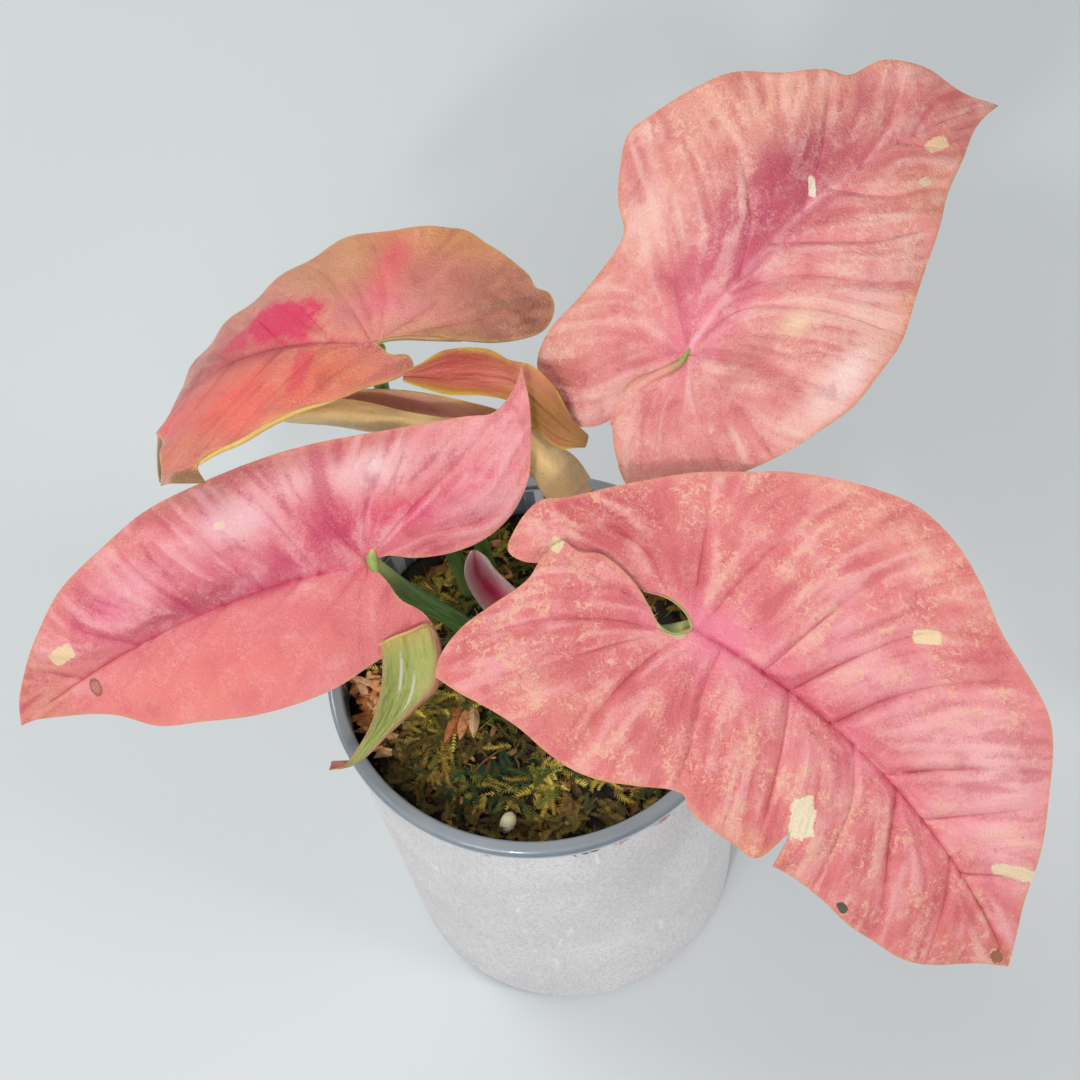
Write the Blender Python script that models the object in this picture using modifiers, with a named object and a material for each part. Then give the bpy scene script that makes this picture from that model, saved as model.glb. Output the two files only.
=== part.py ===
"""A young pink arrowhead plant in a thin grow pot, set in a pale outer pot.

Lengths in this file are millimetres; every mesh is written in metres, +Z up.
The origin is the middle of the outer pot's foot, and the viewer's side is -Y.
"""

import random
from math import cos, pi, radians, sin

import bpy
import bmesh
import numpy as np
from mathutils import Matrix, Vector
from mathutils.geometry import delaunay_2d_cdt

MM = 0.001
GAP = 0.3
ROUND_STEPS = 44

POT_HEIGHT = 105.0
POT_TOP_RADIUS = 44.1
POT_FOOT_RADIUS = 39.4
POT_WALL = 1.2
POT_FLOOR = 3.0
POT_FOOT_ROUNDING = 3.0

LIP_TOP = 108.0
LIP_RADIUS = 45.0
LIP_HEIGHT = 2.7
LIP_WIDTH = 3.2
LINER_WALL = 0.8

MIX_TOP = 98.6
MIX_BUMP = 1.2
MIX_RINGS = 7
MIX_SPOKES = ROUND_STEPS
STEM_DEPTH = 18.0
HOLE_GAP = 0.35
HOLE_SIDES = 16
STEM_CLEARANCE = 0.45

BLADE_THICKNESS = 0.66
BLADE_SPACING = 4.2
MARGIN_SPACING = 3.6
BEHIND = 60
SMALL_BLADE_THICKNESS = 0.62

MOSS_TUFTS = 44
BARK_CHIPS = 15
SEED = 11

# Poses are angles in degrees. "at" is where the stem meets the blade. Outlines run from the tip, round
# the lobe, to that point: along and across the midrib, with None at a sharp corner.
BLADES = {
    "leaf_blade_upper_right": {
        "at": (38.7, 24.9, 175.5), "length": 88.5,
        "heading": 41.5, "pitch": 32.0, "roll": -4.5,
        "droop": 62.0, "sweep": -18.0, "twist": 21.0, "back_droop": 14.5,
        "fold": (-9.5, -3.0), "curl": (19.0, 25.5), "lobe_curl": (0.0, 0.0),
        "lobe_lift": (-1.0, 1.3), "wave": (0.5, 19.0, 0.3),
        "left": [(88.5, 0), (80, 4), (75, 10), (71, 13), (66, 16), (59, 16.5), (56, 19.5), (50, 23.5),
                 (44, 29.5), (37, 32.5), (30, 35), (25, 36), (20, 33), (15, 29), (11, 24), (6, 23.5),
                 (-3, 25.5), (-11, 27), (-18, 26), (-22, 21), (-24, 13), (-22, 9), (-15, 5), (-8, 2.5),
                 (-3, 1), (0, 0)],
        "right": [(88.5, 0), (80, -3), (72, -8), (62, -14), (51, -21), (39, -27), (28, -32), (18, -33.5),
                  (9, -33.5), (0, -31), (-8, -26.5), (-14, -22.5), (-22, -18), (-28, -12), (-28, -4),
                  (-25, 1), (-21, 4.5), (-16, 7), (-11, 6.5), (-7, 4), (-4, 0.6), (-2.5, -0.4), (0, 0)],
    },
    "leaf_blade_upper_left": {
        "at": (-20.7, 42.9, 169.0), "length": 79.5,
        "heading": 160.5, "pitch": 1.5, "roll": 11.0,
        "droop": 88.0, "sweep": 7.0, "twist": 26.0, "back_droop": 29.5,
        "fold": (1.5, -14.0), "curl": (27.5, 12.0), "lobe_curl": (0.0, 0.0),
        "lobe_lift": (0.0, 0.0), "wave": (0.5, 15.0, 1.2),
        "left": [(79.5, 0), (70, 0.8), (62, 3), (54, 9), (48, 15), (44, 21), (41.5, 27.5), (40, 32.5), None,
                 (34, 34.5), (28.5, 35), None, (31, 30.5), (27.5, 28), (22.5, 26), (17, 22), (11.5, 18.5),
                 (3, 14.5), (-1, 10.5), (-6, 7.5), (-8.3, 4.5), (-6.5, 1.5), (-3, 2), (0, 0)],
        "right": [(79.5, 0), (74, -3), (66, -7), (58, -11.5), (50, -13.5), (39, -15), (30, -18), (20, -22.5),
                  (14, -25.5), (7, -27.5), (0, -28.5), (-7, -30), (-11, -30.5), (-16, -27.5), (-22, -25),
                  (-27, -22.5), (-30, -18), (-32, -13.5), (-30, -9.5), (-24, -6), (-15, -4), (-8, -3),
                  (-3, -2), (0, 0)],
    },
    "leaf_blade_left": {
        "at": (-29.3, 3.8, 152.5), "length": 81.5,
        "heading": 180.5, "pitch": -3.0, "roll": -25.5,
        "droop": 20.0, "sweep": 26.0, "twist": -5.5, "back_droop": -26.5,
        "fold": (-8.5, -11.5), "curl": (21.5, 19.0), "lobe_curl": (0.0, -3.5),
        "lobe_lift": (0.0, 0.0), "wave": (0.4, 21.0, 2.0),
        "left": [(81.5, 0), (78, 1), (72, 4), (66, 7), (61, 10), (54, 16), (44, 19.5), (33, 22.5),
                 (22, 23.5), (11, 22.5), (3, 20), (-4, 17.5), (-11, 15.5), None, (-9, 12), (-5, 8.5),
                 (-3, 4.5), (-1, 1.5), (0, 0)],
        "right": [(81.5, 0), (78, -4), (72, -8.5), (65, -13), (58, -17), (46, -20.5), (37, -23), (26, -24),
                  (8, -25), (-12, -24.5), (-25, -24), (-31, -23.5), (-36, -27), (-38.5, -31), None,
                  (-38.5, -23), (-37, -16), (-34.5, -9), (-30, -3.5), (-24, 0), (-17, 1.5), (-9, 1),
                  (-4, -0.5), (0, 0)],
    },
    "leaf_blade_front_right": {
        "at": (29.7, -25.9, 160.0), "length": 96.5,
        "heading": -36.5, "pitch": -11.5, "roll": 14.5,
        "droop": 39.5, "sweep": -33.5, "twist": 2.0, "back_droop": 8.5,
        "fold": (-14.0, -6.0), "curl": (17.5, 24.0), "lobe_curl": (-1.0, -4.0),
        "lobe_lift": (-0.9, 1.2), "wave": (0.5, 24.0, 0.9),
        "left": [(96.5, 0), (93, 2), (85, 7), (77, 14), (68, 22), (61, 28), (56, 31), (48, 33),
                 (42, 34.5), (35, 38), (28, 41), (21, 42), (14, 40), (3, 35), (-4, 31), (-13, 26),
                 (-23, 18.5), (-32, 11), (-36.5, 8), (-38.2, 2), (-37.5, -3), (-34.5, -3.6), (-30.5, -2),
                 (-26, 2.5), (-20, 3), (-11, 2), (-6, 3), (-2, 2), (0, 0)],
        "right": [(96.5, 0), (92, -5), (87, -12), (80, -18), (71, -21.5), (64, -23.5), (55, -24.5),
                  (46, -26), (42, -27), None, (39.5, -20), None, (38, -28), (32, -29), (24, -29.5), (19, -29),
                  (16, -27.5), (6, -31), (0, -33), (-6, -34), (-12, -33.5), (-19, -32), (-26, -31.5),
                  (-32, -31.5), (-37.5, -31), None, (-38.5, -27), (-37.5, -20.5), (-35, -14.5), (-31, -6.5),
                  (-30.8, -2), (-29.8, 2), (-28.5, 3.6), None, (-25, 3), (-21.5, 4.5), (-17, 4), (-12, 2.2),
                  (-10, 1), (-6, -2), (-3, -3), (0, 0)],
    },
}

# Small leaves and the folded lobe are lofted: each row crosses the leaf from its near margin to its far
# margin, and the rows follow one another along it.
FOLDED_LOBE = [
    [(-29.0, -12.0, 148.2), (-23.9, -11.2, 149.0), (-18.8, -10.6, 149.9)],
    [(-29.9, -14.4, 142.0), (-24.3, -13.1, 141.0), (-18.6, -13.3, 142.0)],
    [(-32.1, -17.2, 134.0), (-26.4, -15.9, 132.0), (-20.7, -16.6, 134.0)],
    [(-35.1, -19.3, 127.0), (-30.3, -17.5, 125.0), (-25.2, -16.4, 127.0)],
    [(-38.6, -20.6, 121.0), (-35.8, -19.8, 120.0), (-32.5, -19.0, 121.0)],
    [(-42.5, -22.2, 117.0), (-40.7, -22.0, 116.5), (-38.4, -21.1, 117.0)],
    [(-45.4, -22.6, 117.0), (-45.1, -21.9, 117.0), (-44.6, -21.2, 118.0)],
]
FURLED_LEAF = [
    [(16.6, 16.4, 149.1), (13.1, 12.4, 151.4), (8.9, 12.3, 146.7), (11.8, 15.9, 140.8), (16.7, 17.8, 142.0)],
    [(14.4, 19.2, 153.0), (10.6, 14.0, 155.8), (6.8, 14.4, 150.2), (9.1, 20.1, 145.4), (14.1, 22.1, 147.7)],
    [(10.9, 20.6, 157.2), (8.1, 15.3, 159.9), (5.5, 15.5, 154.3), (7.3, 21.5, 150.8), (10.9, 22.9, 152.8)],
    [(7.1, 22.0, 161.5), (5.3, 17.6, 162.4), (3.6, 16.8, 157.4), (4.6, 23.3, 154.1), (7.1, 25.6, 156.6)],
    [(0.7, 23.3, 164.5), (0.2, 19.5, 164.6), (-0.4, 19.3, 159.9), (0.3, 26.4, 155.9), (1.2, 28.9, 159.6)],
    [(-7.7, 26.1, 163.7), (-8.1, 22.8, 164.2), (-8.7, 23.3, 159.9), (-8.1, 30.4, 155.9), (-7.2, 32.7, 160.6)],
    [(-13.7, 28.7, 162.9), (-14, 25.4, 163.4), (-14.7, 25.9, 159.1), (-13.9, 33.4, 155.3), (-12.6, 35.5, 160)],
    [(-18.9, 31.4, 162.2), (-19.2, 28.3, 162.7), (-19.8, 28.4, 158.2), (-19.1, 36.3, 154.6), (-18.1, 38.1, 159)],
    [(-24.6, 34.6, 161.7), (-25, 31.1, 162.0), (-25.7, 30.9, 157.3), (-25.2, 38.6, 153.6), (-24.2, 40.2, 158)],
    [(-30.2, 37.7, 160.0), (-30.5, 34.2, 160.3), (-31.3, 34.2, 155.7), (-30.9, 40.5, 152.4), (-29.8, 41.6, 157)],
    [(-36.1, 39.8, 157.8), (-36.3, 36.7, 158.2), (-37.0, 37.1, 153.9), (-36.8, 41.9, 152.1), (-36.1, 42.7, 155)],
    [(-42.2, 42.2, 154.5), (-42.3, 40.2, 154.5), (-42.7, 40.5, 151.2), (-42.7, 43.7, 149.6), (-42.2, 44, 152)],
    [(-47.2, 45.1, 150.6), (-47.2, 44.2, 150.9), (-47.4, 43.8, 149.7), (-47.5, 45.7, 148.4), (-47.4, 46.2, 149)],
]
CUPPED_LEAF = [
    [(-16.6, 31.6, 171.8), (-16.5, 33.0, 171.1), (-16.2, 34.0, 171.6)],
    [(-14.0, 30.0, 171.7), (-13.2, 33.2, 170.1), (-12.8, 34.1, 172.9)],
    [(-8.7, 27.3, 171.3), (-8.3, 32.7, 168.7), (-7.9, 35.1, 174.6)],
    [(-1.4, 26.0, 170.6), (-1.4, 31.4, 167.9), (0.6, 33.6, 174.9)],
    [(3.5, 24.7, 168.7), (4.4, 29.1, 167.8), (4.5, 31.2, 173.5)],
    [(7.1, 20.8, 164.2), (7.3, 24.8, 168.8), (8.5, 30.3, 171.9)],
    [(11.5, 16.9, 161.5), (11.3, 20.5, 167.0), (12.3, 25.7, 169.9)],
    [(14.5, 16.7, 161.0), (14.6, 18.2, 164.4), (14.8, 20.2, 165.6)],
    [(16.3, 17.0, 160.1), (16.9, 17.9, 160.8), (17.3, 18.9, 161.5)],
]
UNFURLING_LEAF = [
    [(-9.8, 16.2, 128.2), (-9.2, 16.5, 127.8), (-8.5, 15.9, 128.2)],
    [(-11.2, 14.7, 127.0), (-9.2, 16.0, 125.0), (-7.0, 15.5, 126.0)],
    [(-12.0, 13.7, 123.0), (-9.1, 15.5, 120.0), (-5.8, 14.8, 122.0)],
    [(-11.6, 13.3, 117.0), (-8.0, 15.2, 114.0), (-3.8, 14.2, 117.0)],
    [(-10.2, 12.3, 111.5), (-6.3, 14.7, 109.0), (-1.8, 13.4, 112.0)],
    [(-8.3, 10.8, 108.0), (-4.7, 12.7, 106.0), (-1.4, 11.9, 108.2)],
    [(-5.4, 10.2, 105.6), (-4.0, 10.8, 105.0), (-2.7, 10.8, 105.6)],
]

# Each stem: radius at the soil and at the top, where it leaves the soil, and the points it bends through.
STEMS = {
    "stem_upper_right": (2.0, 1.6, (6.5, 9.5), [(12.0, 11.5, 118.0), (26.0, 18.5, 141.0), (38.0, 26.0, 160.0)]),
    "stem_upper_left": (1.9, 1.5, (-12.5, 22.5), [(-14.5, 27.0, 112.0), (-19.5, 36.5, 134.0), (-22.0, 42.2, 153.0)]),
    "stem_left": (2.1, 1.8, (-4.0, 2.0), [(-7.5, 1.5, 109.0), (-15.5, 2.2, 126.0), (-23.5, 2.5, 141.0)]),
    "stem_front_right": (2.2, 1.8, (4.5, -2.0), [(8.0, -4.0, 114.0), (17.0, -13.0, 136.0), (25.5, -21.8, 151.0)]),
    "stem_furled": (1.7, 1.4, (-6.5, 20.5), [(-7.6, 22.0, 118.0), (-8.6, 25.0, 136.0), (-8.4, 27.6, 148.0)]),
    "stem_cupped": (1.5, 1.2, (10.0, 31.5), [(11.0, 31.5, 118.0), (10.5, 30.5, 140.0), (9.0, 29.0, 155.0)]),
    "stem_unfurling": (1.5, 1.1, (-1.5, 11.0), [(-2.0, 11.1, 100.0), (-2.6, 11.2, 101.5)]),
}
STEM_TOPS = {
    "stem_furled": (-8.2, 29.3, 154.9),
    "stem_cupped": (7.9, 28.0, 168.6),
    "stem_unfurling": (-3.4, 11.2, 104.4),
}
STEM_BLADES = {
    "stem_upper_right": "leaf_blade_upper_right",
    "stem_upper_left": "leaf_blade_upper_left",
    "stem_left": "leaf_blade_left",
    "stem_front_right": "leaf_blade_front_right",
}

COLOURS = {
    "outer_pot": ((0.62, 0.61, 0.60), 0.7),
    "grow_pot": ((0.25, 0.29, 0.33), 0.25),
    "potting_mix": ((0.03, 0.022, 0.01), 0.95),
    "leaf_blade": ((0.72, 0.24, 0.23), 0.45),
    "leaf_blade_furled": ((0.50, 0.30, 0.14), 0.4),
    "leaf_blade_cupped": ((0.55, 0.16, 0.12), 0.4),
    "leaf_blade_unfurling": ((0.40, 0.06, 0.12), 0.5),
    "stem": ((0.09, 0.21, 0.06), 0.45),
}


def turn_x(angle):
    c, s = cos(angle), sin(angle)
    return np.array([[1, 0, 0], [0, c, -s], [0, s, c]])


def turn_y(angle):
    c, s = cos(angle), sin(angle)
    return np.array([[c, 0, s], [0, 1, 0], [-s, 0, c]])


def turn_z(angle):
    c, s = cos(angle), sin(angle)
    return np.array([[c, -s, 0], [s, c, 0], [0, 0, 1]])


def ease(low, high, value):
    """0 before low, 1 past high, and a smooth step between; low may be the larger."""
    t = np.clip((value - low) / (high - low), 0, 1)
    return t * t * (3 - 2 * t)


def smooth_line(points, spacing):
    """A smooth line through the points, read at equal steps of about the spacing."""
    given = np.array(points, float)
    ends = np.vstack([2 * given[0] - given[1], given, 2 * given[-1] - given[-2]])
    gaps = np.sqrt(np.linalg.norm(np.diff(ends, axis=0), axis=1))
    knots = np.concatenate([[0], np.cumsum(gaps)])
    pieces = []
    for i in range(1, len(ends) - 2):
        t = np.linspace(knots[i], knots[i + 1], 16, endpoint=False)[:, None]
        p0, p1, p2, p3 = ends[i - 1:i + 3]
        t0, t1, t2, t3 = knots[i - 1:i + 3]
        a1 = (t1 - t) / (t1 - t0) * p0 + (t - t0) / (t1 - t0) * p1
        a2 = (t2 - t) / (t2 - t1) * p1 + (t - t1) / (t2 - t1) * p2
        a3 = (t3 - t) / (t3 - t2) * p2 + (t - t2) / (t3 - t2) * p3
        b1 = (t2 - t) / (t2 - t0) * a1 + (t - t0) / (t2 - t0) * a2
        b2 = (t3 - t) / (t3 - t1) * a2 + (t - t1) / (t3 - t1) * a3
        pieces.append((t2 - t) / (t2 - t1) * b1 + (t - t1) / (t2 - t1) * b2)
    line = np.vstack(pieces + [given[-1:]])
    run = np.concatenate([[0], np.cumsum(np.linalg.norm(np.diff(line, axis=0), axis=1))])
    count = max(2, int(round(run[-1] / spacing)) + 1)
    steps = np.linspace(0, run[-1], count)
    return np.stack([np.interp(steps, run, line[:, k]) for k in range(given.shape[1])], -1)


def margin_line(points, spacing):
    """An outline read at equal steps, kept sharp where the list holds None."""
    strokes = [[]]
    for point in points:
        if point is None:
            strokes.append([strokes[-1][-1]])
        else:
            strokes[-1].append(point)
    line = [smooth_line(stroke, spacing) for stroke in strokes]
    return np.vstack([line[0]] + [part[1:] for part in line[1:]])


def midrib_frames(blade):
    """Places and frames along the midrib at steps of 1 mm, from behind the lobes to past the tip."""
    start = (turn_z(radians(blade["heading"])) @ turn_y(-radians(blade["pitch"]))
             @ turn_x(radians(blade["roll"])))
    stations = np.arange(-BEHIND, int(blade["length"] * 1.15))
    frames = []
    for station in stations:
        t = station / blade["length"]
        if t >= 0:
            bend = (turn_z(radians(blade["sweep"] * t)) @ turn_y(radians(blade["droop"] * t))
                    @ turn_x(radians(blade["twist"] * t)))
        else:
            bend = turn_y(radians(blade["back_droop"] * t))
        frames.append(start @ bend)
    frames = np.array(frames)
    forward = frames[:, :, 0]
    steps = 0.5 * (forward[1:] + forward[:-1])
    places = np.vstack([[0, 0, 0], np.cumsum(steps, axis=0)])
    places = places - places[BEHIND] + np.array(blade["at"])
    return stations, places, frames


def on_blade(blade, along, across, lift, line):
    """Places on the bent blade for flat places on it; lift raises them off the middle surface."""
    stations, places, frames = line
    left = across >= 0
    fold = np.radians(np.where(left, blade["fold"][0], blade["fold"][1]))
    curl = np.where(left, blade["curl"][0], blade["curl"][1])
    lobe = np.where(left, blade["lobe_curl"][0], blade["lobe_curl"][1])
    length = blade["length"]
    bend = np.radians(curl + lobe * ease(0.0, -0.45, along / length)) / length
    bend = np.where(np.abs(bend) < 1e-7, 1e-7, bend)
    reach = np.abs(across)
    slope = fold + bend * reach
    sideways = (np.sin(slope) - np.sin(fold)) / bend + lift * np.sin(slope)
    upward = (np.cos(slope) - np.cos(fold)) / bend + lift * np.cos(slope)
    sideways = np.where(left, sideways, -sideways)
    centre = np.stack([np.interp(along, stations, places[:, i]) for i in range(3)], -1)
    lateral = np.stack([np.interp(along, stations, frames[:, i, 1]) for i in range(3)], -1)
    normal = np.stack([np.interp(along, stations, frames[:, i, 2]) for i in range(3)], -1)
    return centre + lateral * sideways[:, None] + normal * upward[:, None]


def margin_distance(points, margin):
    """How far each flat point is from the margin, and how far along the margin the nearest place is."""
    start = margin[:-1]
    step = margin[1:] - start
    size = (step ** 2).sum(1) + 1e-12
    t = np.clip(((points[:, None] - start) * step).sum(-1) / size, 0, 1)
    apart = np.linalg.norm(points[:, None] - start - t[..., None] * step, axis=-1)
    nearest = apart.argmin(1)
    rows = np.arange(len(points))
    run = np.concatenate([[0], np.cumsum(np.sqrt(size))])
    return apart[rows, nearest], run[nearest] + t[rows, nearest] * np.sqrt(size[nearest])


def inside(points, ring):
    """Which flat points lie inside the closed ring."""
    x, y = points[:, 0][:, None], points[:, 1][:, None]
    x1, y1 = ring[:, 0], ring[:, 1]
    x2, y2 = np.roll(x1, -1), np.roll(y1, -1)
    crosses = (y1 > y) != (y2 > y)
    rise = np.where(y2 == y1, 1.0, y2 - y1)
    return (crosses & (x < (x2 - x1) * (y - y1) / rise + x1)).sum(1) % 2 == 1


def half_blade(blade, side, midrib, spacing, margin_spacing):
    """Flat points and triangles of one half; its first points are the shared midrib's."""
    margin = margin_line(blade[side], margin_spacing)
    ring = np.vstack([midrib, margin[1:-1]])
    low, high = ring.min(0), ring.max(0)
    row_step = spacing * sin(pi / 3)
    grid = []
    for row in range(int((high[1] - low[1]) / row_step) + 1):
        shift = 0.5 * spacing * (row % 2)
        for x in np.arange(low[0] + shift, high[0], spacing):
            grid.append((x, low[1] + 0.5 * row_step + row * row_step))
    grid = np.array(grid)
    grid = grid[inside(grid, ring)]
    apart, _ = margin_distance(grid, np.vstack([ring, ring[:1]]))
    grid = grid[apart > 0.55 * spacing]
    flat = np.vstack([ring, grid])
    corners = [Vector(point) for point in flat]
    face = list(range(len(ring)))
    if side == "right":
        face.reverse()
    found = delaunay_2d_cdt(corners, [], [face], 1, 1e-6)
    flat = np.array([tuple(point) for point in found[0]])
    return flat, [tuple(triangle) for triangle in found[2]], margin


def blade_surface(blade, spacing, margin_spacing):
    """The blade's middle surface: places and triangles, both halves joined along the midrib."""
    line = midrib_frames(blade)
    count = int(blade["length"] / margin_spacing) + 1
    midrib = np.stack([np.linspace(0, blade["length"], count), np.zeros(count)], -1)
    places, triangles = [], []
    for number, side in enumerate(("left", "right")):
        flat, faces, margin = half_blade(blade, side, midrib, spacing, margin_spacing)
        apart, run = margin_distance(flat, margin)
        along, across = flat[:, 0], flat[:, 1]
        own = across if number == 0 else -across
        height, pitch, phase = blade["wave"]
        lift = height * np.sin(2 * pi * run / pitch + phase + number) * ease(9.0, 0.0, apart) * ease(2, 12, own)
        overlap = ease(3.0, 12.0, -along) * ease(16.0, 6.0, np.abs(across))
        lift += blade["lobe_lift"][number] * overlap
        shape = on_blade(blade, along, across, lift, line)
        if number == 0:
            places = list(shape)
            triangles = list(faces)
        else:
            offset = len(places) - count
            places += list(shape[count:])
            for triangle in faces:
                triangles.append(tuple(i if i < count else i + offset for i in triangle))
    return np.array(places), facing_up(np.array(places), triangles)


def facing_up(places, triangles):
    """The triangles, turned so that neighbours agree and the sheet's first one faces up."""
    mesh = bmesh.new()
    corners = [mesh.verts.new(tuple(place)) for place in places]
    for triangle in triangles:
        mesh.faces.new([corners[i] for i in triangle])
    bmesh.ops.recalc_face_normals(mesh, faces=mesh.faces[:])
    mesh.verts.index_update()
    total = sum(face.normal.z * face.calc_area() for face in mesh.faces)
    found = []
    for face in mesh.faces:
        order = [corner.index for corner in face.verts]
        found.append(tuple(order if total > 0 else reversed(order)))
    mesh.free()
    return found


def loft_surface(rows, per_row, per_gap):
    """A smooth sheet through the rows: places and triangles."""
    across = []
    for row in rows:
        line = smooth_line(row, 0.25)
        across.append(line[np.linspace(0, len(line) - 1, per_row).round().astype(int)])
    across = np.array(across)
    columns = []
    for k in range(per_row):
        line = smooth_line(across[:, k], 0.25)
        count = (len(rows) - 1) * per_gap + 1
        columns.append(line[np.linspace(0, len(line) - 1, count).round().astype(int)])
    grid = np.array(columns).transpose(1, 0, 2)
    count = grid.shape[0]
    triangles = []
    for i in range(count - 1):
        for k in range(per_row - 1):
            a, b = i * per_row + k, i * per_row + k + 1
            c, d = a + per_row, b + per_row
            triangles += [(a, c, d), (a, d, b)]
    places = grid.reshape(-1, 3)
    return places, facing_up(places, triangles)


def thicken(places, triangles, thickness):
    """A closed sheet of this thickness round the middle surface, cut alike on both faces."""
    triangles = np.array(triangles)
    corners = places[triangles]
    facing = np.cross(corners[:, 1] - corners[:, 0], corners[:, 2] - corners[:, 0])
    normals = np.zeros_like(places)
    for k in range(3):
        np.add.at(normals, triangles[:, k], facing)
    normals /= np.linalg.norm(normals, axis=1)[:, None] + 1e-12
    count = len(places)
    both = np.vstack([places + normals * thickness / 2, places - normals * thickness / 2])
    faces = [tuple(t) for t in triangles] + [(t[2] + count, t[1] + count, t[0] + count) for t in triangles]
    edges = {}
    for t in triangles:
        for k in range(3):
            edges[(t[k], t[(k + 1) % 3])] = True
    for a, b in edges:
        if (b, a) not in edges:
            faces.append((b, a, a + count))
            faces.append((b, a + count, b + count))
    return both, faces


def add_part(name, places, faces, smooth_angle=40):
    """A mesh object in the part's collection, from millimetres to metres."""
    mesh = bpy.data.meshes.new(name)
    mesh.from_pydata([tuple(p * MM for p in place) for place in places], [], [tuple(map(int, f)) for f in faces])
    mesh.shade_smooth()
    mesh.set_sharp_from_angle(angle=radians(smooth_angle))
    part = bpy.data.objects.new(name, mesh)
    PARTS.objects.link(part)
    return part


def turned(name, profile, collection):
    """A round piece turned about Z from its profile in millimetres."""
    mesh = bpy.data.meshes.new(name)
    edges = [(i, i + 1) for i in range(len(profile) - 1)]
    mesh.from_pydata([(radius * MM, 0, height * MM) for radius, height in profile], edges, [])
    part = bpy.data.objects.new(name, mesh)
    collection.objects.link(part)
    screw = part.modifiers.new("turn", "SCREW")
    screw.axis = "Z"
    screw.angle = 2 * pi
    screw.steps = ROUND_STEPS
    screw.render_steps = ROUND_STEPS
    screw.use_merge_vertices = True
    screw.merge_threshold = 0.0001
    apply_modifiers(part)
    part.data.shade_smooth()
    part.data.set_sharp_from_angle(angle=radians(35))
    return part


def apply_modifiers(part):
    """Keeps the evaluated mesh and drops the modifiers."""
    view = bpy.context.evaluated_depsgraph_get()
    made = bpy.data.meshes.new_from_object(part.evaluated_get(view))
    part.modifiers.clear()
    old = part.data
    part.data = made
    bpy.data.meshes.remove(old)


def join(part, others, operation):
    """Cuts or joins every object of a collection into the part, then removes them."""
    change = part.modifiers.new("change", "BOOLEAN")
    change.operation = operation
    change.operand_type = "COLLECTION"
    change.collection = others
    change.solver = "EXACT"
    apply_modifiers(part)
    for other in list(others.objects):
        bpy.data.objects.remove(other)


def arc(centre_radius, centre_height, radius, first, last, steps):
    """Points of a profile's round corner, angles in degrees from outwards."""
    found = []
    for k in range(steps + 1):
        angle = radians(first + (last - first) * k / steps)
        found.append((centre_radius + radius * cos(angle), centre_height + radius * sin(angle)))
    return found


def pot_radius(height):
    """The outer pot's outside radius at a height."""
    return POT_FOOT_RADIUS + (POT_TOP_RADIUS - POT_FOOT_RADIUS) * height / POT_HEIGHT


def make_outer_pot():
    foot = POT_FOOT_ROUNDING
    profile = [(0, POT_FLOOR)]
    profile += arc(pot_radius(POT_FLOOR) - POT_WALL - 1.5, POT_FLOOR + 1.5, 1.5, -90, 0, 3)
    profile += [(POT_TOP_RADIUS - POT_WALL, POT_HEIGHT), (POT_TOP_RADIUS - 0.2, POT_HEIGHT)]
    profile += [(POT_TOP_RADIUS, POT_HEIGHT - 0.3), (pot_radius(60), 60)]
    profile += arc(pot_radius(foot) - foot, foot, foot, 0, -90, 4)
    profile += [(0, 0)]
    turned("outer_pot", profile, PARTS)


def liner_radius(height):
    """The grow pot's outside radius at a height."""
    return pot_radius(height) - POT_WALL - GAP


def make_grow_pot():
    floor = POT_FLOOR + GAP
    under_lip = LIP_TOP - LIP_HEIGHT
    corner = 1.8
    profile = [(0, floor + LINER_WALL)]
    profile += arc(liner_radius(floor) - LINER_WALL - 1.2, floor + LINER_WALL + 1.2, 1.2, -90, 0, 3)
    profile += [(liner_radius(under_lip) - LINER_WALL, under_lip)]
    profile += arc(LIP_RADIUS - LIP_WIDTH + 0.9, LIP_TOP - 0.9, 0.9, 180, 90, 3)
    profile += arc(LIP_RADIUS - 1.1, LIP_TOP - 1.1, 1.1, 90, 0, 3)
    profile += [(LIP_RADIUS, under_lip + 0.3), (LIP_RADIUS - 0.3, under_lip), (liner_radius(under_lip), under_lip)]
    profile += arc(liner_radius(floor) - corner, floor + corner, corner, 0, -90, 3)
    profile += [(0, floor)]
    turned("grow_pot", profile, PARTS)


def mix_height(x, y):
    """The potting mix's lumpy top."""
    return MIX_TOP + MIX_BUMP * (sin(0.21 * x + 0.6) * cos(0.17 * y) + 0.5 * sin(0.43 * x - 0.37 * y))


def make_mix_body():
    """A filled cup of mix with a lumpy top, before its holes are cut."""
    bottom = POT_FLOOR + 2 * GAP + LINER_WALL
    inner = liner_radius(MIX_TOP) - LINER_WALL - GAP - 0.15
    foot = liner_radius(bottom) - LINER_WALL - GAP - 1.6
    places, faces = [(0, 0, mix_height(0, 0))], []
    for ring in range(1, MIX_RINGS + 1):
        for k in range(MIX_SPOKES):
            angle = 2 * pi * k / MIX_SPOKES
            x, y = inner * ring / MIX_RINGS * cos(angle), inner * ring / MIX_RINGS * sin(angle)
            places.append((x, y, mix_height(x, y) if ring < MIX_RINGS else MIX_TOP - 1.6))
    for k in range(MIX_SPOKES):
        angle = 2 * pi * k / MIX_SPOKES
        places.append((foot * cos(angle), foot * sin(angle), bottom))
    places.append((0, 0, bottom))
    for k in range(MIX_SPOKES):
        after = (k + 1) % MIX_SPOKES
        faces.append((0, 1 + k, 1 + after))
        for ring in range(MIX_RINGS):
            a, b = 1 + ring * MIX_SPOKES + k, 1 + ring * MIX_SPOKES + after
            c, d = a + MIX_SPOKES, b + MIX_SPOKES
            faces += [(a, c, d), (a, d, b)]
        last = 1 + MIX_RINGS * MIX_SPOKES
        faces.append((last + after, last + k, len(places) - 1))
    return add_part("potting_mix", places, faces)


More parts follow.
